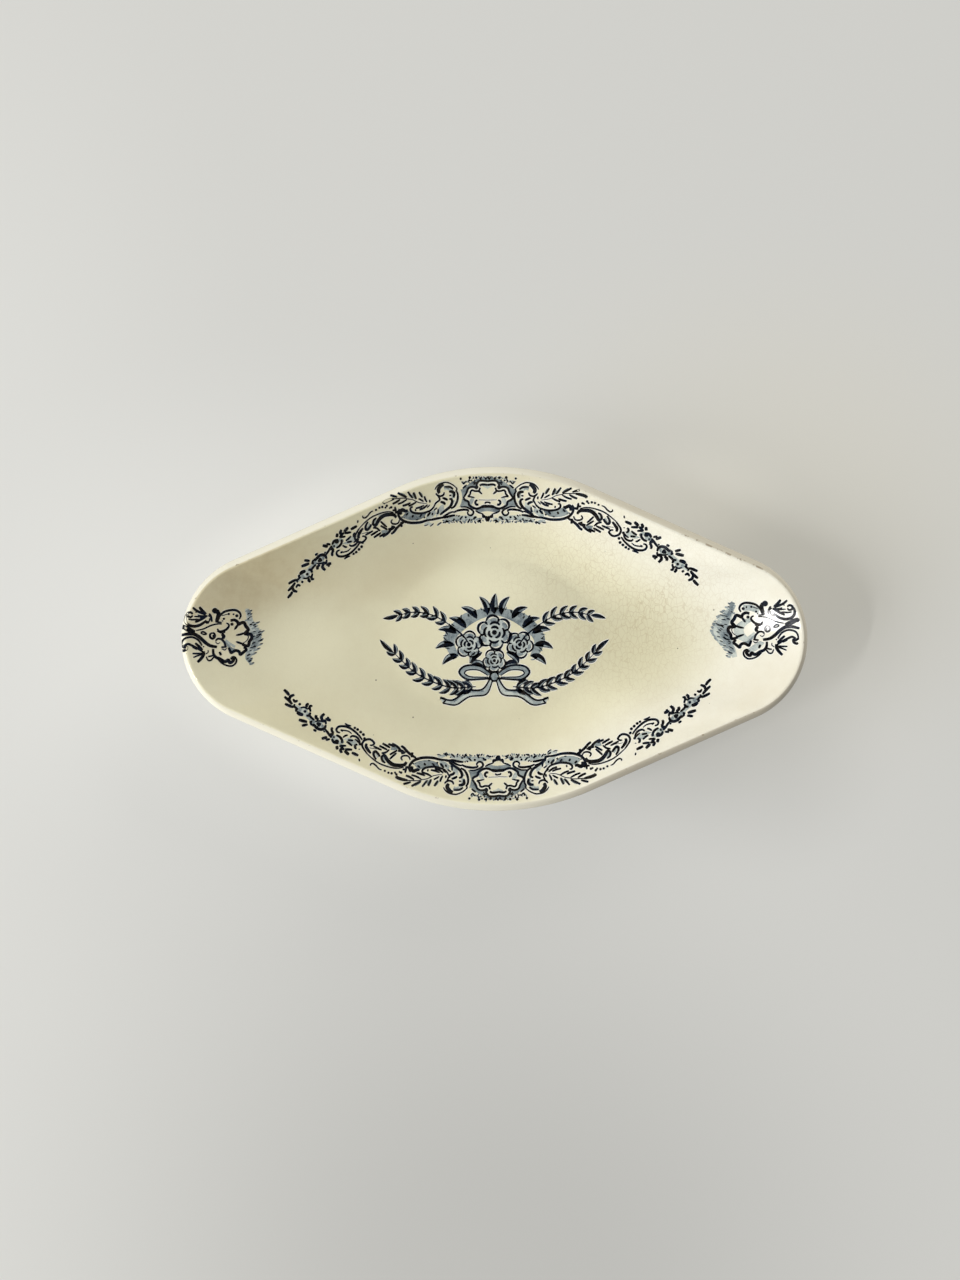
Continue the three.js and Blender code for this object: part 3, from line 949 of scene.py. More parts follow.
def drawVolute(p):
    begin(p, "volute")
    band(p, [(900, 700), (905, 590), (960, 500), (1060, 440), (1170, 430)],
         [(990, 720), (985, 610), (1030, 560), (1090, 510), (1160, 520)], pale, across=2)
    band(p, [(905, 760), (960, 870), (1060, 940)], [(960, 760), (1000, 860), (1090, 950)], pale)
    band(p, [(1060, 440), (1120, 425), (1180, 420)], [(1050, 500), (1110, 480), (1170, 480)], mid)
    strokes(p, (
        (0.75, (870, 460), (960, 390), (1070, 340), (1160, 332), (1280, 362), (1360, 430), (1400, 492)),
        (1.9, (1180, 378), (1240, 402), (1300, 470), (1310, 530), (1278, 578)),
        (1.0, (1165, 560), (1190, 622), (1265, 650), (1335, 625), (1375, 580)),
        (1.15, (880, 520), (840, 585), (830, 660), (838, 740), (872, 830), (920, 900), (1000, 948)),
        (1.1, (945, 492), (1030, 440), (1165, 430)), (1.5, (1050, 545), (965, 555), (922, 600), (932, 690)),
        (1.35, (1040, 712), (980, 742), (975, 810), (1020, 900), (1100, 962), (1200, 1030), (1270, 1085)),
        (0.8, (990, 636), (1045, 640)), (1.2, (1080, 748), (1140, 715), (1212, 690)),
        (1.3, (1142, 852), (1180, 805), (1262, 780))))


def drawGreatScroll(p):
    begin(p, "greatScroll")
    band(p, [(560, 380), (700, 400), (860, 400), (1000, 370), (1080, 330), (1150, 290)],
         [(640, 500), (760, 560), (900, 580), (1050, 570), (1200, 530), (1300, 470)], mid, across=2)
    band(p, [(330, 300), (480, 380), (560, 400)], [(300, 420), (430, 540), (600, 570)], pale)
    band(p, [(60, 150), (180, 220), (300, 420)], [(60, 330), (150, 390), (290, 520)], pale)
    band(p, [(400, 700), (500, 650), (620, 660)], [(430, 760), (540, 730), (650, 740)], pale)
    strokes(p, (
        (1.1, (340, 190), (380, 250), (460, 320), (560, 360), (700, 390), (820, 390), (960, 365),
         (1040, 310), (1055, 250), (1030, 205), (980, 210)),
        (1.35, (1380, 235), (1415, 310), (1410, 400), (1370, 480), (1290, 560), (1180, 610), (1060, 640),
         (900, 650), (740, 640), (620, 610), (500, 590), (400, 585)),
        (1.7, (1130, 290), (1200, 305), (1300, 265), (1345, 330), (1330, 400)),
        (1.2, (880, 290), (925, 295)), (1.0, (1120, 360), (1190, 430)), (1.0, (965, 425), (1005, 495)),
        (0.9, (710, 410), (780, 495)), (1.1, (460, 370), (560, 490)), (0.9, (395, 390), (410, 460)),
        (0.9, (620, 490), (660, 525)), (0.6, (830, 565), (900, 570)),
        (0.9, (235, 290), (235, 390), (270, 430)), (0.8, (265, 255), (360, 320)),
        (0.6, (370, 690), (420, 735), (475, 770)), (0.5, (530, 715), (590, 735), (650, 740))), (0.55, 0.6))
    dots(p, ((1300, 470, 20), (1240, 490, 16)))


def drawUpperLaurel(p):
    begin(p, "upperLaurel")
    stem = [(250, 560), (400, 540), (480, 515), (600, 455), (720, 430), (820, 405), (1060, 408)]
    line(p, stem, p.pen * 0.45, (0.6, 1.2))
    for root, tip in (((345, 420), (402, 300)), ((520, 440), (600, 320)), ((600, 420), (690, 310)),
                      ((750, 385), (900, 290))):
        line(p, [root, tip], p.pen * 1.2, (0.5, 0.6), mid)
    strokes(p, (
        (1.0, (240, 530), (280, 455), (305, 385)), (1.1, (355, 412), (400, 340), (437, 278)),
        (1.15, (505, 445), (545, 360), (582, 283)), (1.0, (592, 420), (660, 340), (722, 262)),
        (1.15, (742, 390), (860, 335), (972, 274)), (1.15, (985, 372), (1080, 342), (1162, 320)),
        (0.9, (320, 512), (385, 470), (450, 438)), (1.0, (500, 510), (600, 565), (702, 602)),
        (1.15, (650, 528), (750, 565), (852, 588)), (1.0, (740, 440), (860, 505), (972, 540)),
        (1.15, (910, 430), (1010, 490), (1104, 526)), (1.1, (225, 592), (320, 665), (425, 702)),
        (1.0, (310, 602), (420, 645), (520, 665)), (0.6, (165, 595), (235, 662)),
        (0.9, (172, 472), (160, 540)), (1.6, (1060, 408), (1180, 430), (1300, 470), (1332, 508))),
            (0.5, 0.8))


def drawSecondScroll(p):
    begin(p, "secondScroll")
    band(p, [(500, 580), (600, 560), (680, 570)], [(540, 660), (620, 680), (650, 640)], mid)
    band(p, [(800, 300), (840, 340), (850, 400)], [(780, 360), (800, 400), (810, 430)], pale)
    band(p, [(960, 380), (1000, 440), (1010, 490)], [(930, 410), (960, 460), (980, 500)], pale)
    band(p, [(420, 200), (600, 190), (760, 240)], [(480, 222), (600, 225), (700, 270)], pale)
    strokes(p, (
        (1.2, (250, 165), (330, 195)), (1.15, (325, 210), (350, 55)), (1.0, (350, 140), (410, 128)),
        (0.9, (455, 60), (490, 90)),
        (0.8, (870, 115), (930, 140), (1000, 215), (1060, 255), (1110, 240), (1115, 200)),
        (0.75, (380, 180), (500, 158), (620, 165), (720, 188), (800, 212), (900, 250), (1000, 310),
         (1100, 390), (1190, 470)),
        (1.1, (1190, 470), (1240, 540), (1290, 620), (1300, 690), (1260, 760), (1180, 795), (1110, 790),
         (1050, 740), (1035, 700), (1080, 665), (1130, 665)),
        (1.9, (320, 305), (370, 240), (470, 222), (600, 232), (680, 275), (740, 335), (790, 420),
         (800, 450)), (0.9, (240, 350), (270, 420), (330, 445), (410, 430), (440, 385), (410, 335)),
        (1.2, (790, 275), (850, 320), (870, 400), (820, 450), (780, 440)),
        (1.3, (990, 345), (1040, 430), (1045, 500), (1000, 525), (930, 450), (915, 410)),
        (1.5, (1110, 480), (1180, 570), (1215, 640), (1200, 700))), (0.55, 0.6))
    dots(p, ((440, 62, 30), (545, 22, 30), (575, 60, 25), (650, 42, 30), (720, 55, 28), (800, 97, 27)))
    strokes(p, (  # lower laurel
        (1.3, (110, 395), (200, 450), (300, 530), (380, 620), (440, 660)), (1.2, (212, 408), (190, 520)),
        (1.1, (340, 520), (440, 490)), (1.0, (540, 500), (610, 440), (692, 362)),
        (1.0, (525, 560), (600, 515), (692, 458)), (1.0, (700, 575), (780, 510), (872, 488)),
        (1.2, (430, 545), (520, 640), (640, 712)), (1.15, (580, 640), (722, 702)),
        (1.15, (680, 615), (852, 712)), (1.1, (745, 570), (922, 657)), (1.05, (870, 560), (1052, 642)),
        (1.5, (370, 515), (430, 545), (510, 560)), (0.3, (980, 580), (1140, 605))), (0.6, 0.8))


def drawGarland(p):
    begin(p, "garland")
    dots(p, ((575, 530, 66), (870, 785, 84), (1140, 1025, 72)), pale)
    dots(p, ((600, 560, 36), (965, 830, 42), (1190, 1050, 42), (440, 480, 34), (800, 760, 30),
             (1085, 1060, 30)), mid)
    band(p, [(440, 430), (540, 560), (670, 630), (800, 790), (970, 890), (1090, 1050), (1290, 1140)],
         [(500, 430), (620, 510), (730, 640), (920, 730), (1050, 870), (1230, 1010), (1360, 1130)], pale)
    band(p, [(140, 420), (220, 520), (330, 560)], [(260, 420), (320, 480), (430, 530)], pale)
    strokes(p, (  # third scroll and its small leaves
        (0.8, (132, 130), (138, 180)), (1.2, (185, 355), (210, 380), (205, 420), (170, 440)),
        (0.5, (120, 352), (150, 350)), (0.9, (125, 445), (160, 490), (215, 535)),
        (1.1, (120, 470), (150, 540), (200, 580), (260, 590), (300, 562)),
        (1.15, (80, 520), (130, 590), (200, 660), (280, 720), (360, 755), (440, 765), (510, 750),
         (545, 705), (530, 660), (480, 645)), (0.7, (270, 630), (330, 675), (420, 690), (470, 695)),
        (1.0, (425, 672), (470, 700)), (0.9, (280, 770), (350, 790), (395, 815)),
        (1.1, (265, 410), (310, 450), (365, 485)), (1.05, (245, 505), (345, 515)),
        (1.0, (340, 605), (380, 595), (430, 560))))
    dots(p, ((120, 445, 27), (40, 545, 28), (60, 620, 28), (110, 665, 28), (165, 710, 27), (215, 738, 24)))
    strokes(p, (  # leaves along the garland
        (1.45, (150, 235), (270, 288)), (1.6, (320, 245), (400, 320)), (1.25, (260, 340), (390, 345)),
        (1.55, (450, 275), (470, 330), (430, 360)), (1.5, (530, 335), (540, 405)),
        (1.1, (370, 408), (480, 410)), (1.2, (400, 330), (450, 380), (490, 415)),
        (1.15, (660, 525), (740, 505)), (1.5, (710, 560), (812, 525)), (1.6, (645, 868), (718, 880)),
        (1.2, (735, 850), (770, 835)), (1.5, (790, 850), (815, 920), (760, 985)),
        (1.5, (865, 870), (912, 910), (905, 955)), (1.35, (1060, 780), (1168, 755)),
        (1.6, (1070, 825), (1222, 860)), (1.45, (1330, 1085), (1472, 1145)),
        (1.5, (1395, 1300), (1430, 1350), (1488, 1402)), (1.2, (690, 930), (705, 895), (745, 880))),
            (0.6, 0.7))
    strokes(p, (  # three roses and the stem between them
        (1.3, (445, 455), (450, 520), (490, 570), (550, 600)), (1.4, (510, 450), (590, 470), (630, 530)),
        (1.3, (590, 640), (620, 660), (630, 710), (610, 735)), (1.2, (590, 630), (650, 610), (690, 610)),
        (1.2, (660, 570), (700, 640), (745, 700)), (1.6, (820, 785), (905, 805)),
        (1.5, (735, 780), (760, 720), (820, 695), (890, 715), (950, 770), (985, 760)),
        (1.2, (905, 660), (960, 690)), (1.2, (940, 860), (1000, 910), (1040, 960)),
        (1.3, (1010, 1000), (1040, 945), (1090, 940)), (1.8, (1140, 950), (1210, 970), (1255, 1000)),
        (0.9, (1060, 1060), (1120, 1090), (1190, 1080)), (0.9, (770, 830), (850, 850), (930, 840)),
        (1.2, (975, 1120), (1020, 1115), (1020, 1070)), (1.4, (1075, 1090), (1080, 1130), (1045, 1165)),
        (1.2, (1185, 1160), (1225, 1130)), (1.2, (1235, 1050), (1310, 1100), (1340, 1080)),
        (1.2, (1240, 1215), (1290, 1190), (1325, 1235)), (1.5, (1340, 1140), (1400, 1210), (1480, 1275)),
        (1.4, (1390, 1220), (1370, 1280), (1300, 1315)), (1.2, (645, 545), (640, 590), (600, 618)),
        (1.1, (732, 790), (745, 850), (790, 868)), (1.1, (985, 765), (1005, 800), (990, 850)),
        (1.1, (1012, 1010), (1020, 1055), (1060, 1085)), (1.2, (1255, 1005), (1270, 1035), (1240, 1065))))
    dots(p, ((540, 480, 42), (1110, 1015, 28), (1015, 825, 20), (1300, 1130, 18), (765, 660, 18),
             (865, 770, 30), (590, 560, 20)))


def drawJoins(p):  # lines that run on from one motif to the next
    p.motif((0, 0), 1.0, 1)
    strokes(p, (
        (1.2, spot(p, "greatScroll", 425, 586), spot(p, "greatScroll", 330, 566),
         spot(p, "shell", 1285, 1130)),
        (0.9, spot(p, "volute", 1318, 645), spot(p, "volute", 1278, 730), spot(p, "greatScroll", 300, 120),
         spot(p, "greatScroll", 348, 198)),
        (0.8, spot(p, "volute", 872, 458), spot(p, "volute", 856, 492), spot(p, "volute", 872, 530))),
            (0.8, 0.8))


borderHalves = {  # how each half bends and stretches, and small shifts of its motifs in millimetres
    "backRight": {"bend": 0.0, "stretch": 1.0},
    "backLeft": {"bend": 0.00093, "stretch": 0.945, "volute": (1.7, 0.3), "greatScroll": (3.2, -0.5),
                 "upperLaurel": (4.0, -0.8), "secondScroll": (2.6, -0.3), "garland": (0.2, 0.5)},
    "frontRight": {"bend": 0.00067, "stretch": 1.015, "shell": (0, -0.6), "volute": (-0.4, -0.6),
                   "greatScroll": (0, -1.6), "upperLaurel": (-1.2, -1.7), "secondScroll": (-1.3, -1.6),
                   "garland": (-0.5, -1.0)},
    "frontLeft": {"bend": 0.0002, "stretch": 1.015, "shell": (0, -0.5), "volute": (1.0, -0.5),
                  "greatScroll": (0.6, -0.3), "upperLaurel": (0.4, -1.4), "secondScroll": (0.2, -0.7)},
}


def drawBorder(name, halves, across, shift, up):
    def placer(mirror, bend, stretch):
        def place(q):
            u = q[:, 0] * stretch
            return np.stack([mirror * u + shift, across * (q[:, 1] - bend * u * u + up)], -1)
        return place

    plate = Plate(name, None)
    for mirror, side in zip((1, -1), halves):
        plate.shifts = borderHalves[side]
        plate.place = placer(mirror, plate.shifts["bend"], plate.shifts["stretch"])
        for draw in (drawShell, drawVolute, drawGreatScroll, drawUpperLaurel, drawSecondScroll, drawGarland,
                     drawJoins):
            draw(plate)
    return printOnDish(plate)


backBorder = drawBorder("backBorderPrint", ("backRight", "backLeft"), across=1, shift=-2.6, up=-0.4)
frontBorder = drawBorder("frontBorderPrint", ("frontRight", "frontLeft"), across=-1, shift=1.4, up=-0.1)
print("borders printed:", len(backBorder.data.polygons) + len(frontBorder.data.polygons), "strips")


# The two end cartouches: scalloped shell, scrolls, leaf tufts and a feathered ground
endMotif = ((-121.19, 16.09), 0.02254)  # drawn at the left end, mirrored for the right
endPen = 0.9  # the ends have slightly finer lines than the borders


def drawEnd(p, toned):
    p.motif(*endMotif)
    p.pen *= endPen
    band(p, [(1262, 205), (1235, 300), (1250, 420), (1290, 560), (1330, 680), (1300, 800), (1240, 920),
             (1220, 1040), (1290, 1130)],
         [(1274, 205), (1320, 300), (1360, 420), (1440, 580), (1480, 690), (1460, 800), (1380, 930),
          (1310, 1040), (1330, 1110)], pale, across=2)
    for root, tip in (((1255, 270), (1337, 234)), ((1260, 330), (1340, 290)), ((1330, 480), (1466, 428)),
                      ((1330, 545), (1408, 505)), ((1410, 640), (1542, 574)), ((1380, 710), (1466, 660)),
                      ((1420, 760), (1526, 710)), ((1400, 830), (1518, 788)), ((1360, 910), (1475, 864)),
                      ((1310, 980), (1415, 940)), ((1260, 1070), (1347, 1034)),
                      ((1290, 1140), (1372, 1108)), ((1290, 620), (1400, 590)), ((1310, 860), (1400, 830)),
                      ((1250, 930), (1330, 905)), ((1215, 410), (1290, 380))):
        middle = np.add(root, tip) / 2
        line(p, [root, middle + (0, 8), tip], p.pen * 0.95, (0.9, 0.3), mid)
        line(p, [middle - (0, 6), tip], p.pen * 0.5, (0.4, 0.4))
    if toned:
        band(p, [(960, 470), (1080, 520), (1190, 600), (1240, 700), (1180, 820), (1060, 890)],
             [(930, 540), (1000, 580), (1060, 640), (1070, 720), (1020, 790), (940, 850)], pale, across=2)
        band(p, [(800, 330), (940, 270), (1080, 270)], [(830, 420), (950, 370), (1080, 370)], pale)
        band(p, [(720, 900), (820, 1000), (960, 1080)], [(800, 870), (900, 930), (1010, 1010)], pale)
    feathers(p, [(1215, 240), (1240, 330), (1270, 420), (1300, 520), (1330, 620), (1345, 700), (1330, 800),
                 (1290, 880), (1270, 960), (1230, 1040), (1290, 1120)],
             count=58, long=74, rise=-30, width=p.pen * 0.75, tones=(mid, mid, pale, pale, ink))
    feathers(p, [(1330, 450), (1380, 560), (1400, 680), (1370, 800), (1320, 900)],
             count=34, long=78, rise=-32, width=p.pen * 0.75, tones=(mid, mid, pale, ink))
    feathers(p, [(1430, 600), (1450, 690), (1420, 790)],
             count=12, long=74, rise=-34, width=p.pen * 0.75, tones=(mid, mid, ink))
    feathers(p, [(1240, 250), (1260, 330)],
             count=9, long=60, rise=-24, width=p.pen * 0.9, tones=(mid, mid, ink))
    band(p, [(880, 760), (940, 800), (1000, 860), (1080, 890)],
         [(950, 890), (1000, 935), (1060, 905), (1120, 905)], mid)
    band(p, [(900, 720), (980, 780), (1060, 830)], [(880, 760), (950, 810), (1040, 870)], pale)
    band(p, [(430, 300), (520, 330), (600, 330)], [(420, 350), (510, 370), (590, 350)], mid)
    strokes(p, (  # shell
        (1.8, (975, 410), (1040, 400), (1090, 430), (1110, 470), (1150, 450), (1200, 445), (1230, 500),
         (1270, 560), (1240, 600), (1220, 630), (1310, 640), (1330, 700), (1290, 760), (1270, 830),
         (1200, 820), (1180, 800)),
        (1.6, (945, 860), (970, 920), (990, 945), (1060, 910), (1120, 930), (1140, 975), (1200, 930),
         (1240, 895), (1200, 850)), (0.5, (1200, 640), (1270, 670), (1250, 740), (1180, 790)),
        (0.9, (905, 450), (940, 470), (950, 500))), (0.8, 0.8))
    strokes(p, ((1.2, (1195, 620), (1140, 640), (1065, 655)), (1.2, (1180, 800), (1120, 780), (1065, 760)),
                (1.3, (1100, 480), (1070, 520), (1040, 560))), (0.9, 0.3))
    strokes(p, (  # upper scroll, club and tuft
        (1.3, (745, 400), (790, 340), (860, 270), (950, 240), (1050, 235), (1120, 270), (1145, 330),
         (1120, 385)), (0.5, (830, 330), (930, 300)), (2.3, (780, 260), (770, 340), (740, 430)),
        (0.9, (720, 430), (830, 440)), (0.9, (400, 575), (520, 550), (640, 495), (740, 468), (830, 465)),
        (1.3, (620, 290), (650, 350), (665, 430)), (0.8, (600, 325), (640, 345)),
        (1.4, (345, 190), (420, 250), (560, 310)), (1.6, (455, 180), (500, 240), (570, 300)),
        (1.6, (430, 330), (520, 345), (590, 330)), (1.5, (385, 435), (440, 410), (500, 380), (560, 350)),
        (1.0, (270, 385), (340, 395), (420, 390), (470, 400)), (0.9, (370, 340), (460, 345), (540, 345))))
    strokes(p, (  # volute at the rim, root and small marks
        (1.3, (345, 325), (310, 352), (262, 335), (262, 290), (310, 272), (345, 300)),
        (1.6, (255, 300), (225, 350), (225, 420), (270, 480), (360, 505), (450, 490), (520, 450),
         (575, 410)), (0.8, (600, 460), (625, 400), (625, 370)),
        (2.6, (160, 500), (230, 535), (300, 570), (380, 605)), (1.0, (475, 605), (525, 598), (582, 636)),
        (0.8, (475, 615), (525, 640), (582, 640)),
        (1.3, (755, 545), (780, 585), (830, 590), (900, 560), (945, 510), (945, 475)),
        (0.6, (750, 590), (830, 620), (890, 600)), (1.9, (830, 630), (862, 670), (845, 712)),
        (1.2, (725, 750), (760, 715), (820, 720), (870, 770), (890, 830), (905, 860)),
        (0.5, (720, 760), (760, 795), (800, 775)),
        (1.3, (672, 612), (635, 640), (640, 690), (680, 710), (715, 675), (705, 630), (672, 612)),
        (1.9, (140, 660), (220, 640), (300, 630), (380, 640), (460, 690), (560, 780), (640, 830),
         (750, 850))), (0.6, 0.7))
    strokes(p, (  # lower volute, fan and loops
        (1.1, (160, 850), (165, 780), (200, 720), (270, 690), (350, 690), (430, 730), (480, 790),
         (500, 830)), (1.5, (165, 830), (200, 855), (240, 850), (235, 890), (190, 915), (165, 900)),
        (1.3, (200, 830), (260, 800), (320, 820), (400, 860), (470, 900), (510, 930)),
        (1.4, (385, 785), (440, 830), (510, 900)), (1.0, (340, 960), (430, 960), (520, 955)),
        (0.9, (355, 1025), (430, 995), (500, 975)), (1.7, (425, 1105), (480, 1050), (525, 980), (525, 920)),
        (1.0, (340, 850), (420, 890)), (0.6, (600, 900), (600, 940), (560, 970)),
        (0.9, (570, 1010), (600, 1070), (650, 1070), (700, 1010), (710, 970)),
        (1.0, (600, 1010), (660, 1000), (690, 980))), (0.7, 0.7))
    strokes(p, (  # lower scroll
        (1.8, (685, 880), (690, 960), (730, 1020), (800, 1050), (860, 1090), (900, 1090), (940, 1070),
         (960, 1110), (1000, 1100), (1030, 1060), (1000, 1040), (975, 1050)),
        (1.0, (760, 1050), (830, 1120), (920, 1160), (1000, 1165), (1060, 1120), (1075, 1060), (1040, 1015),
         (990, 1015)), (1.3, (790, 930), (820, 990)), (1.1, (820, 855), (890, 850)),
        (0.6, (830, 880), (880, 900), (910, 870))))
    dots(p, ((715, 245, 50), (755, 262, 40), (945, 300, 20), (1025, 305, 16), (1080, 330, 27),
             (865, 380, 20), (840, 415, 12), (582, 438, 28), (1000, 470, 28), (525, 845, 13),
             (400, 270, 13), (175, 520, 38), (690, 665, 20)))
    if toned:  # the ground is washed more widely here
        band(p, [(1262, 230), (1340, 320), (1440, 440), (1540, 570), (1600, 700), (1550, 820), (1450, 930),
                 (1350, 1040), (1260, 1150)],
             [(1200, 280), (1260, 420), (1300, 560), (1330, 690), (1290, 800), (1240, 920), (1200, 1040),
              (1180, 1130)], pale, across=2)
        band(p, [(1280, 300), (1360, 430), (1440, 560), (1500, 690), (1450, 810), (1370, 930),
                 (1275, 1070)],
             [(1240, 310), (1280, 430), (1320, 560), (1350, 690), (1310, 800), (1260, 920), (1215, 1060)],
             mid, across=2)
        feathers(p, [(1320, 300), (1430, 430), (1530, 560), (1580, 690), (1540, 810), (1440, 920),
                     (1330, 1060)],
                 count=34, long=56, rise=-22, width=p.pen * 0.9, tones=(mid, mid, pale))


def drawEndPrint(name, side, shift, toned):  # side is 1 on the right and -1 on the left
    plate = Plate(name, lambda q: q * (-side, 1) + shift)
    drawEnd(plate, toned)
    return printOnDish(plate)


leftEnd = drawEndPrint("leftEndPrint", side=-1, shift=(0.0, 0.0), toned=False)
rightEnd = drawEndPrint("rightEndPrint", side=1, shift=(-3.3, 2.7), toned=True)
print("end cartouches printed")


# The centre: a ribbon-tied posy with laurel sprays, in millimetres about its own middle
centrePosy = {
    "shift": (0.0, -2.6), "line": 0.62,
    "ground": ([(16, -5), (19, 3), (13, 11), (6, 13.6), (0, 14.6)],
               [(13.4, -4), (14.9, 2), (10.4, 6.8), (5.6, 9.8), (0, 11.8)]),
    "lowSpray": [(7, -15.4), (17, -15.6), (29, -10.6), (38.5, -2)],
    "highSpray": [(17, 8), (23, 11.4), (30, 12.6), (36.5, 11.4)], "stem": [(17, 8), (12, 4), (9, 0)],
    "loop": (
        [(1.0, -10.6), (5.6, -7.6), (11.0, -7.6), (13.2, -10.0), (10.4, -12.6), (5.4, -12.6), (1.0, -12.2)],
        [(2.4, -11.2), (6.0, -9.2), (10.0, -9.2), (11.2, -10.4), (9.2, -11.6), (5.4, -11.8), (2.4, -11.8)]),
    "end": ([(1.4, -12.2), (4.6, -16.4), (10.4, -17.0), (15.6, -20.4), (20.4, -19.6)],
            [(0.6, -12.8), (3.0, -18.2), (9.4, -19.2), (14.4, -22.2), (19.4, -21.6)]),
    "endFold": [(3.8, -17.2), (10.0, -18.0), (15.0, -21.2)], "endNotch": (18.4, -20.4),
    "leaves": (((6.6, 10.2), (12.4, 14.4)), ((14.2, 4.6), (21.0, 6.0)), ((15.0, 0.2), (22.0, -1.0)),
               ((13.6, -3.6), (19.4, -7.0)), ((4.6, -2.6), (9.2, -6.6)), ((4.2, -7.4), (8.6, -6.9)),
               ((2.6, 11.6), (5.6, 18.4)), ((10.6, 6.6), (17.0, 10.4))),
    "leafWidth": 2.3, "leafBend": 0.15, "leafDark": 0.6,
    "knot": (0, -11.6), "knotRadius": 1.7,
}


def drawPosySide(p, side):  # side is 1 on the right and -1 on the left
    c, w = centrePosy, centrePosy["line"]

    def mirrored(points):
        return [(side * x, y) for x, y in points]

    ground, (loop, inner), (over, under) = c["ground"], c["loop"], c["end"]
    band(p, mirrored(ground[0]), mirrored(ground[1]), mid, across=2)
    fringe(p, mirrored(ground[0]), count=22, long=1.6 * side, width=0.5, tones=(mid, mid, ink))
    spray(p, mirrored(c["lowSpray"]), count=11, size=5.0, width=1.55, spread=0.55)
    spray(p, mirrored(c["highSpray"]), count=6, size=4.4, width=1.5, spread=0.6)
    line(p, mirrored(c["stem"]), w, (0.9, 0.4))
    band(p, mirrored(loop), mirrored(inner), mid)
    line(p, mirrored(loop), w * 1.25, (0.8, 0.8))
    line(p, mirrored(inner), w * 0.8, (0.6, 0.6))
    band(p, mirrored(over), mirrored(under), pale)
    band(p, mirrored(over[1:4]), mirrored(c["endFold"]), mid)
    line(p, mirrored(over), w * 1.2, (0.6, 0.8))
    line(p, mirrored(under), w * 1.0, (0.6, 0.8))
    line(p, mirrored([over[-1], c["endNotch"], under[-1]]), w, (0.9, 0.9), steps=3)
    for root, tip in c["leaves"]:
        leaf(p, *mirrored([root, tip]), c["leafWidth"], c["leafBend"] * side, c["leafDark"])


def drawCentrePrint():
    c = centrePosy
    p = Plate("centrePrint", lambda q: q + np.array(c["shift"]))
    for side in (-1, 1):
        drawPosySide(p, side)
    rose(p, (0, 5), radius=6.3, turn=0.2, petals=6)
    rose(p, (-9.6, 0.4), radius=4.9, turn=0.9)
    rose(p, (9.6, 0.4), radius=4.9, turn=0.5)
    rose(p, (0, -5.6), radius=4.2, turn=0.3)
    leaf(p, root=(0, 12), tip=(0.4, 19.6), width=2.6, bend=0.05, dark=c["leafDark"])
    dot(p, c["knot"], c["knotRadius"], mid)
    arc(p, c["knot"], c["knotRadius"], 0, 2 * math.pi, c["line"] * 1.2)
    return printOnDish(p)


centrePrint = drawCentrePrint()
print("centre printed")

# Everything rides on the one body
for piece in (glazedDish, footRing, recessGlaze, backBorder, frontBorder, leftEnd, rightEnd, centrePrint):
    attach(piece, "root")
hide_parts("glaze_coat", "earthenware_body")
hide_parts("foot_ring")
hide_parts("recess_glaze")

# Floor, light and camera
daylight = (1.0, 0.99, 0.97)
studio = {
    "floorHalf": 6.0, "floor": (0.37, 0.368, 0.350), "roughness": 0.6,
    "cloud": {"Scale": 3.0, "Detail": 2.0}, "cloudColour": (0.33, 0.34, 0.33), "cloudy": 0.06,
    # painted shade: a warmer glow on the floor over the right side, where the dish's shadow falls
    "glow": (0.293, 0.294, 0.283), "warmShadeGlow": (0.305, 0.293, 0.248), "noGlow": (0.0, 0.0, 0.0),
    "warmShadePatch": {"X": 0.11, "Y": 0.045, "Half_length": 0.15, "Half_width": 0.13},
    "floorLightAndShade": (  # painted light and shade on the floor: brighter or darker by this much, and where
        (0.14, {"X": -0.21, "Y": 0.06, "Half_length": 0.13, "Half_width": 0.30}),
        (0.27, {"X": -0.085, "Y": 0.0, "Half_length": 0.15, "Half_width": 0.13}),
        (0.27, {"X": 0.073, "Y": 0.055, "Half_length": 0.055, "Half_width": 0.03}),
        (-0.42, {"X": -0.005, "Y": -0.25, "Half_length": 0.22, "Half_width": 0.20}),
        (-0.19, {"X": 0.105, "Y": -0.05, "Half_length": 0.06, "Half_width": 0.05}),
        (0.30, {"X": -0.062, "Y": 0.046, "Half_length": 0.085, "Half_width": 0.028, "Slope": 0.40}),
        (0.30, {"X": -0.062, "Y": -0.047, "Half_length": 0.085, "Half_width": 0.028, "Slope": -0.40}),
        (0.22, {"X": 0.022, "Y": 0.068, "Half_length": 0.06, "Half_width": 0.022, "Slope": -0.15}),
    ),
    "room": (0.24, 0.24, 0.24), "roomSeen": (0.62, 0.62, 0.605),
    "lightAway": 2.2,
    "lights": {  # degrees round the dish and up, turn of the pane, size in metres and power in watts
        "window": {"from": 198.5, "up": 45.3, "roll": -23, "size": (0.55, 0.05), "power": 10.0,
                   "colour": daylight, "shines": True},
        "lowPane": {"from": 199, "up": 40.3, "roll": -23, "size": (0.6, 0.012), "power": 0.9,
                    "colour": daylight, "shines": True},
        "sky": {"from": 190, "up": 40, "roll": 0, "size": (1.8, 0.36), "power": 2.6,
                "colour": (0.88, 0.95, 1.0), "shines": True},
        "windowWall": {"from": 197, "up": 28, "roll": 0, "size": (1.8, 1.0), "power": 42.0,
                       "colour": daylight, "shines": False},
        "backWall": {"from": 54, "up": 19, "roll": 0, "size": (1.4, 1.0), "power": 27.0,
                     "colour": (1.0, 0.98, 0.94), "shines": False},
    },
}


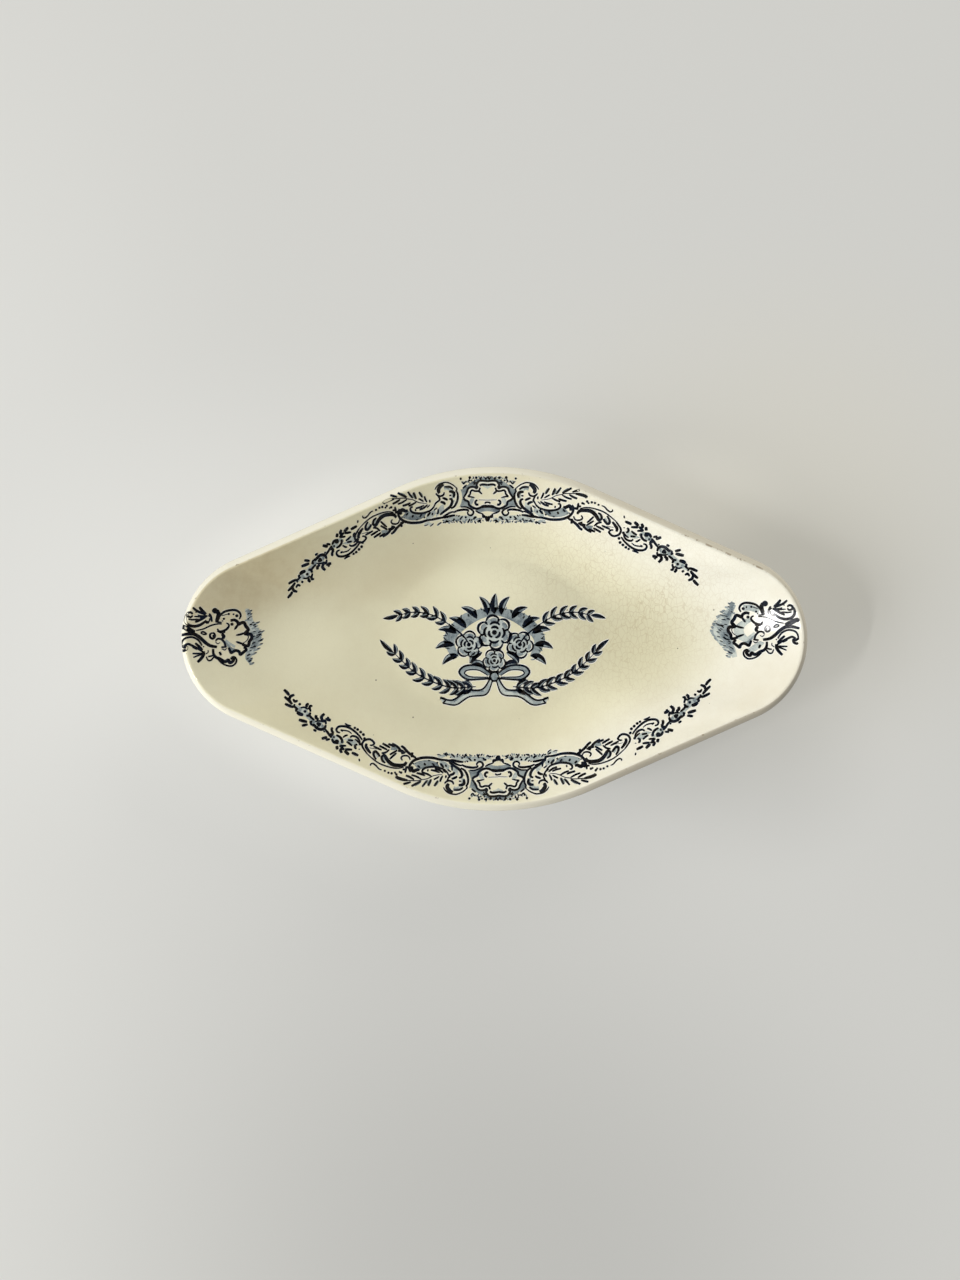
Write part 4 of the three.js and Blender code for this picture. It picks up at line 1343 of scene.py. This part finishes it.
def makeFloor():
    c, far = studio, studio["floorHalf"]
    corners = [(-far, -far, 0), (far, -far, 0), (far, far, 0), (-far, far, 0)]
    floor = newObject("studioFloor", newMesh("studioFloor", corners, [(0, 1, 2, 3)]))
    material, tree, shader = newMaterial("paleFloor", c["roughness"], c["floor"])
    cloud = noise(tree, onObject(tree), **c["cloud"])
    tree.links.new(tint(tree, c["floor"], cloud, c["cloudy"], c["cloudColour"]), shader["Base Color"])
    path = add(tree, "ShaderNodeLightPath").outputs
    seen = mathNode(tree, "MAXIMUM", path["Is Camera Ray"], path["Is Glossy Ray"])
    seen = mathNode(tree, "MAXIMUM", seen, path["Is Transmission Ray"])
    glow = mixColour(tree, patch(tree, c["warmShadePatch"]), c["glow"], c["warmShadeGlow"])
    tree.links.new(mixColour(tree, seen, c["noGlow"], glow), shader["Emission Color"])
    floorLightLevel = 1.0
    for change, where in c["floorLightAndShade"]:
        floorLightLevel = timesAdd(tree, patch(tree, where), change, floorLightLevel)
    tree.links.new(floorLightLevel, shader["Emission Strength"])
    floor.data.materials.append(material)


def makeSoftLight(name, settings):  # a soft light on one side, turned to the dish
    lamp = bpy.data.lights.new(name, "AREA")
    lamp.shape = "RECTANGLE"
    lamp.size, lamp.size_y = settings["size"]
    lamp.energy, lamp.color = settings["power"], settings["colour"]
    light = newObject(name, lamp)
    a, up, roll = (math.radians(settings[key]) for key in ("from", "up", "roll"))
    away = (math.cos(up) * math.cos(a), math.cos(up) * math.sin(a), math.sin(up))
    light.location = [studio["lightAway"] * v for v in away]
    turned = mathutils.Matrix.Rotation
    facing = turned(a + math.pi / 2, 4, "Z") @ turned(math.pi / 2 - up, 4, "X") @ turned(roll, 4, "Z")
    light.rotation_euler = facing.to_euler()
    light.visible_glossy = settings["shines"]


def makeRoom():
    for name, settings in studio["lights"].items():
        makeSoftLight(name, settings)
    world = bpy.data.worlds.new("softRoom")
    bpy.context.scene.world = world
    world.use_nodes = True
    tree = world.node_tree
    path = add(tree, "ShaderNodeLightPath").outputs
    seen = mathNode(tree, "MAXIMUM", path["Is Camera Ray"], path["Is Transmission Ray"])
    room = mixColour(tree, seen, studio["room"], studio["roomSeen"])
    tree.links.new(room, tree.nodes["Background"].inputs["Color"])


def makeCamera():
    data = bpy.data.cameras.new("aboveDish")
    data.sensor_fit = "VERTICAL"
    data.sensor_height = eye["sensor"]
    distance = (eye["height"] - eye["rimLevel"]) * mm
    view = eye["pixelsHigh"] / eye["pixelsPerMillimetre"] * mm  # height of the frame at the rim
    data.lens = eye["sensor"] * distance / view
    camera = newObject("aboveDish", data)
    camera.location = (eye["from"][0] * mm, eye["from"][1] * mm, eye["height"] * mm)
    bpy.context.scene.camera = camera


makeFloor()
makeRoom()
makeCamera()
bpy.context.scene.view_settings.view_transform = "Standard"
print("studio set")
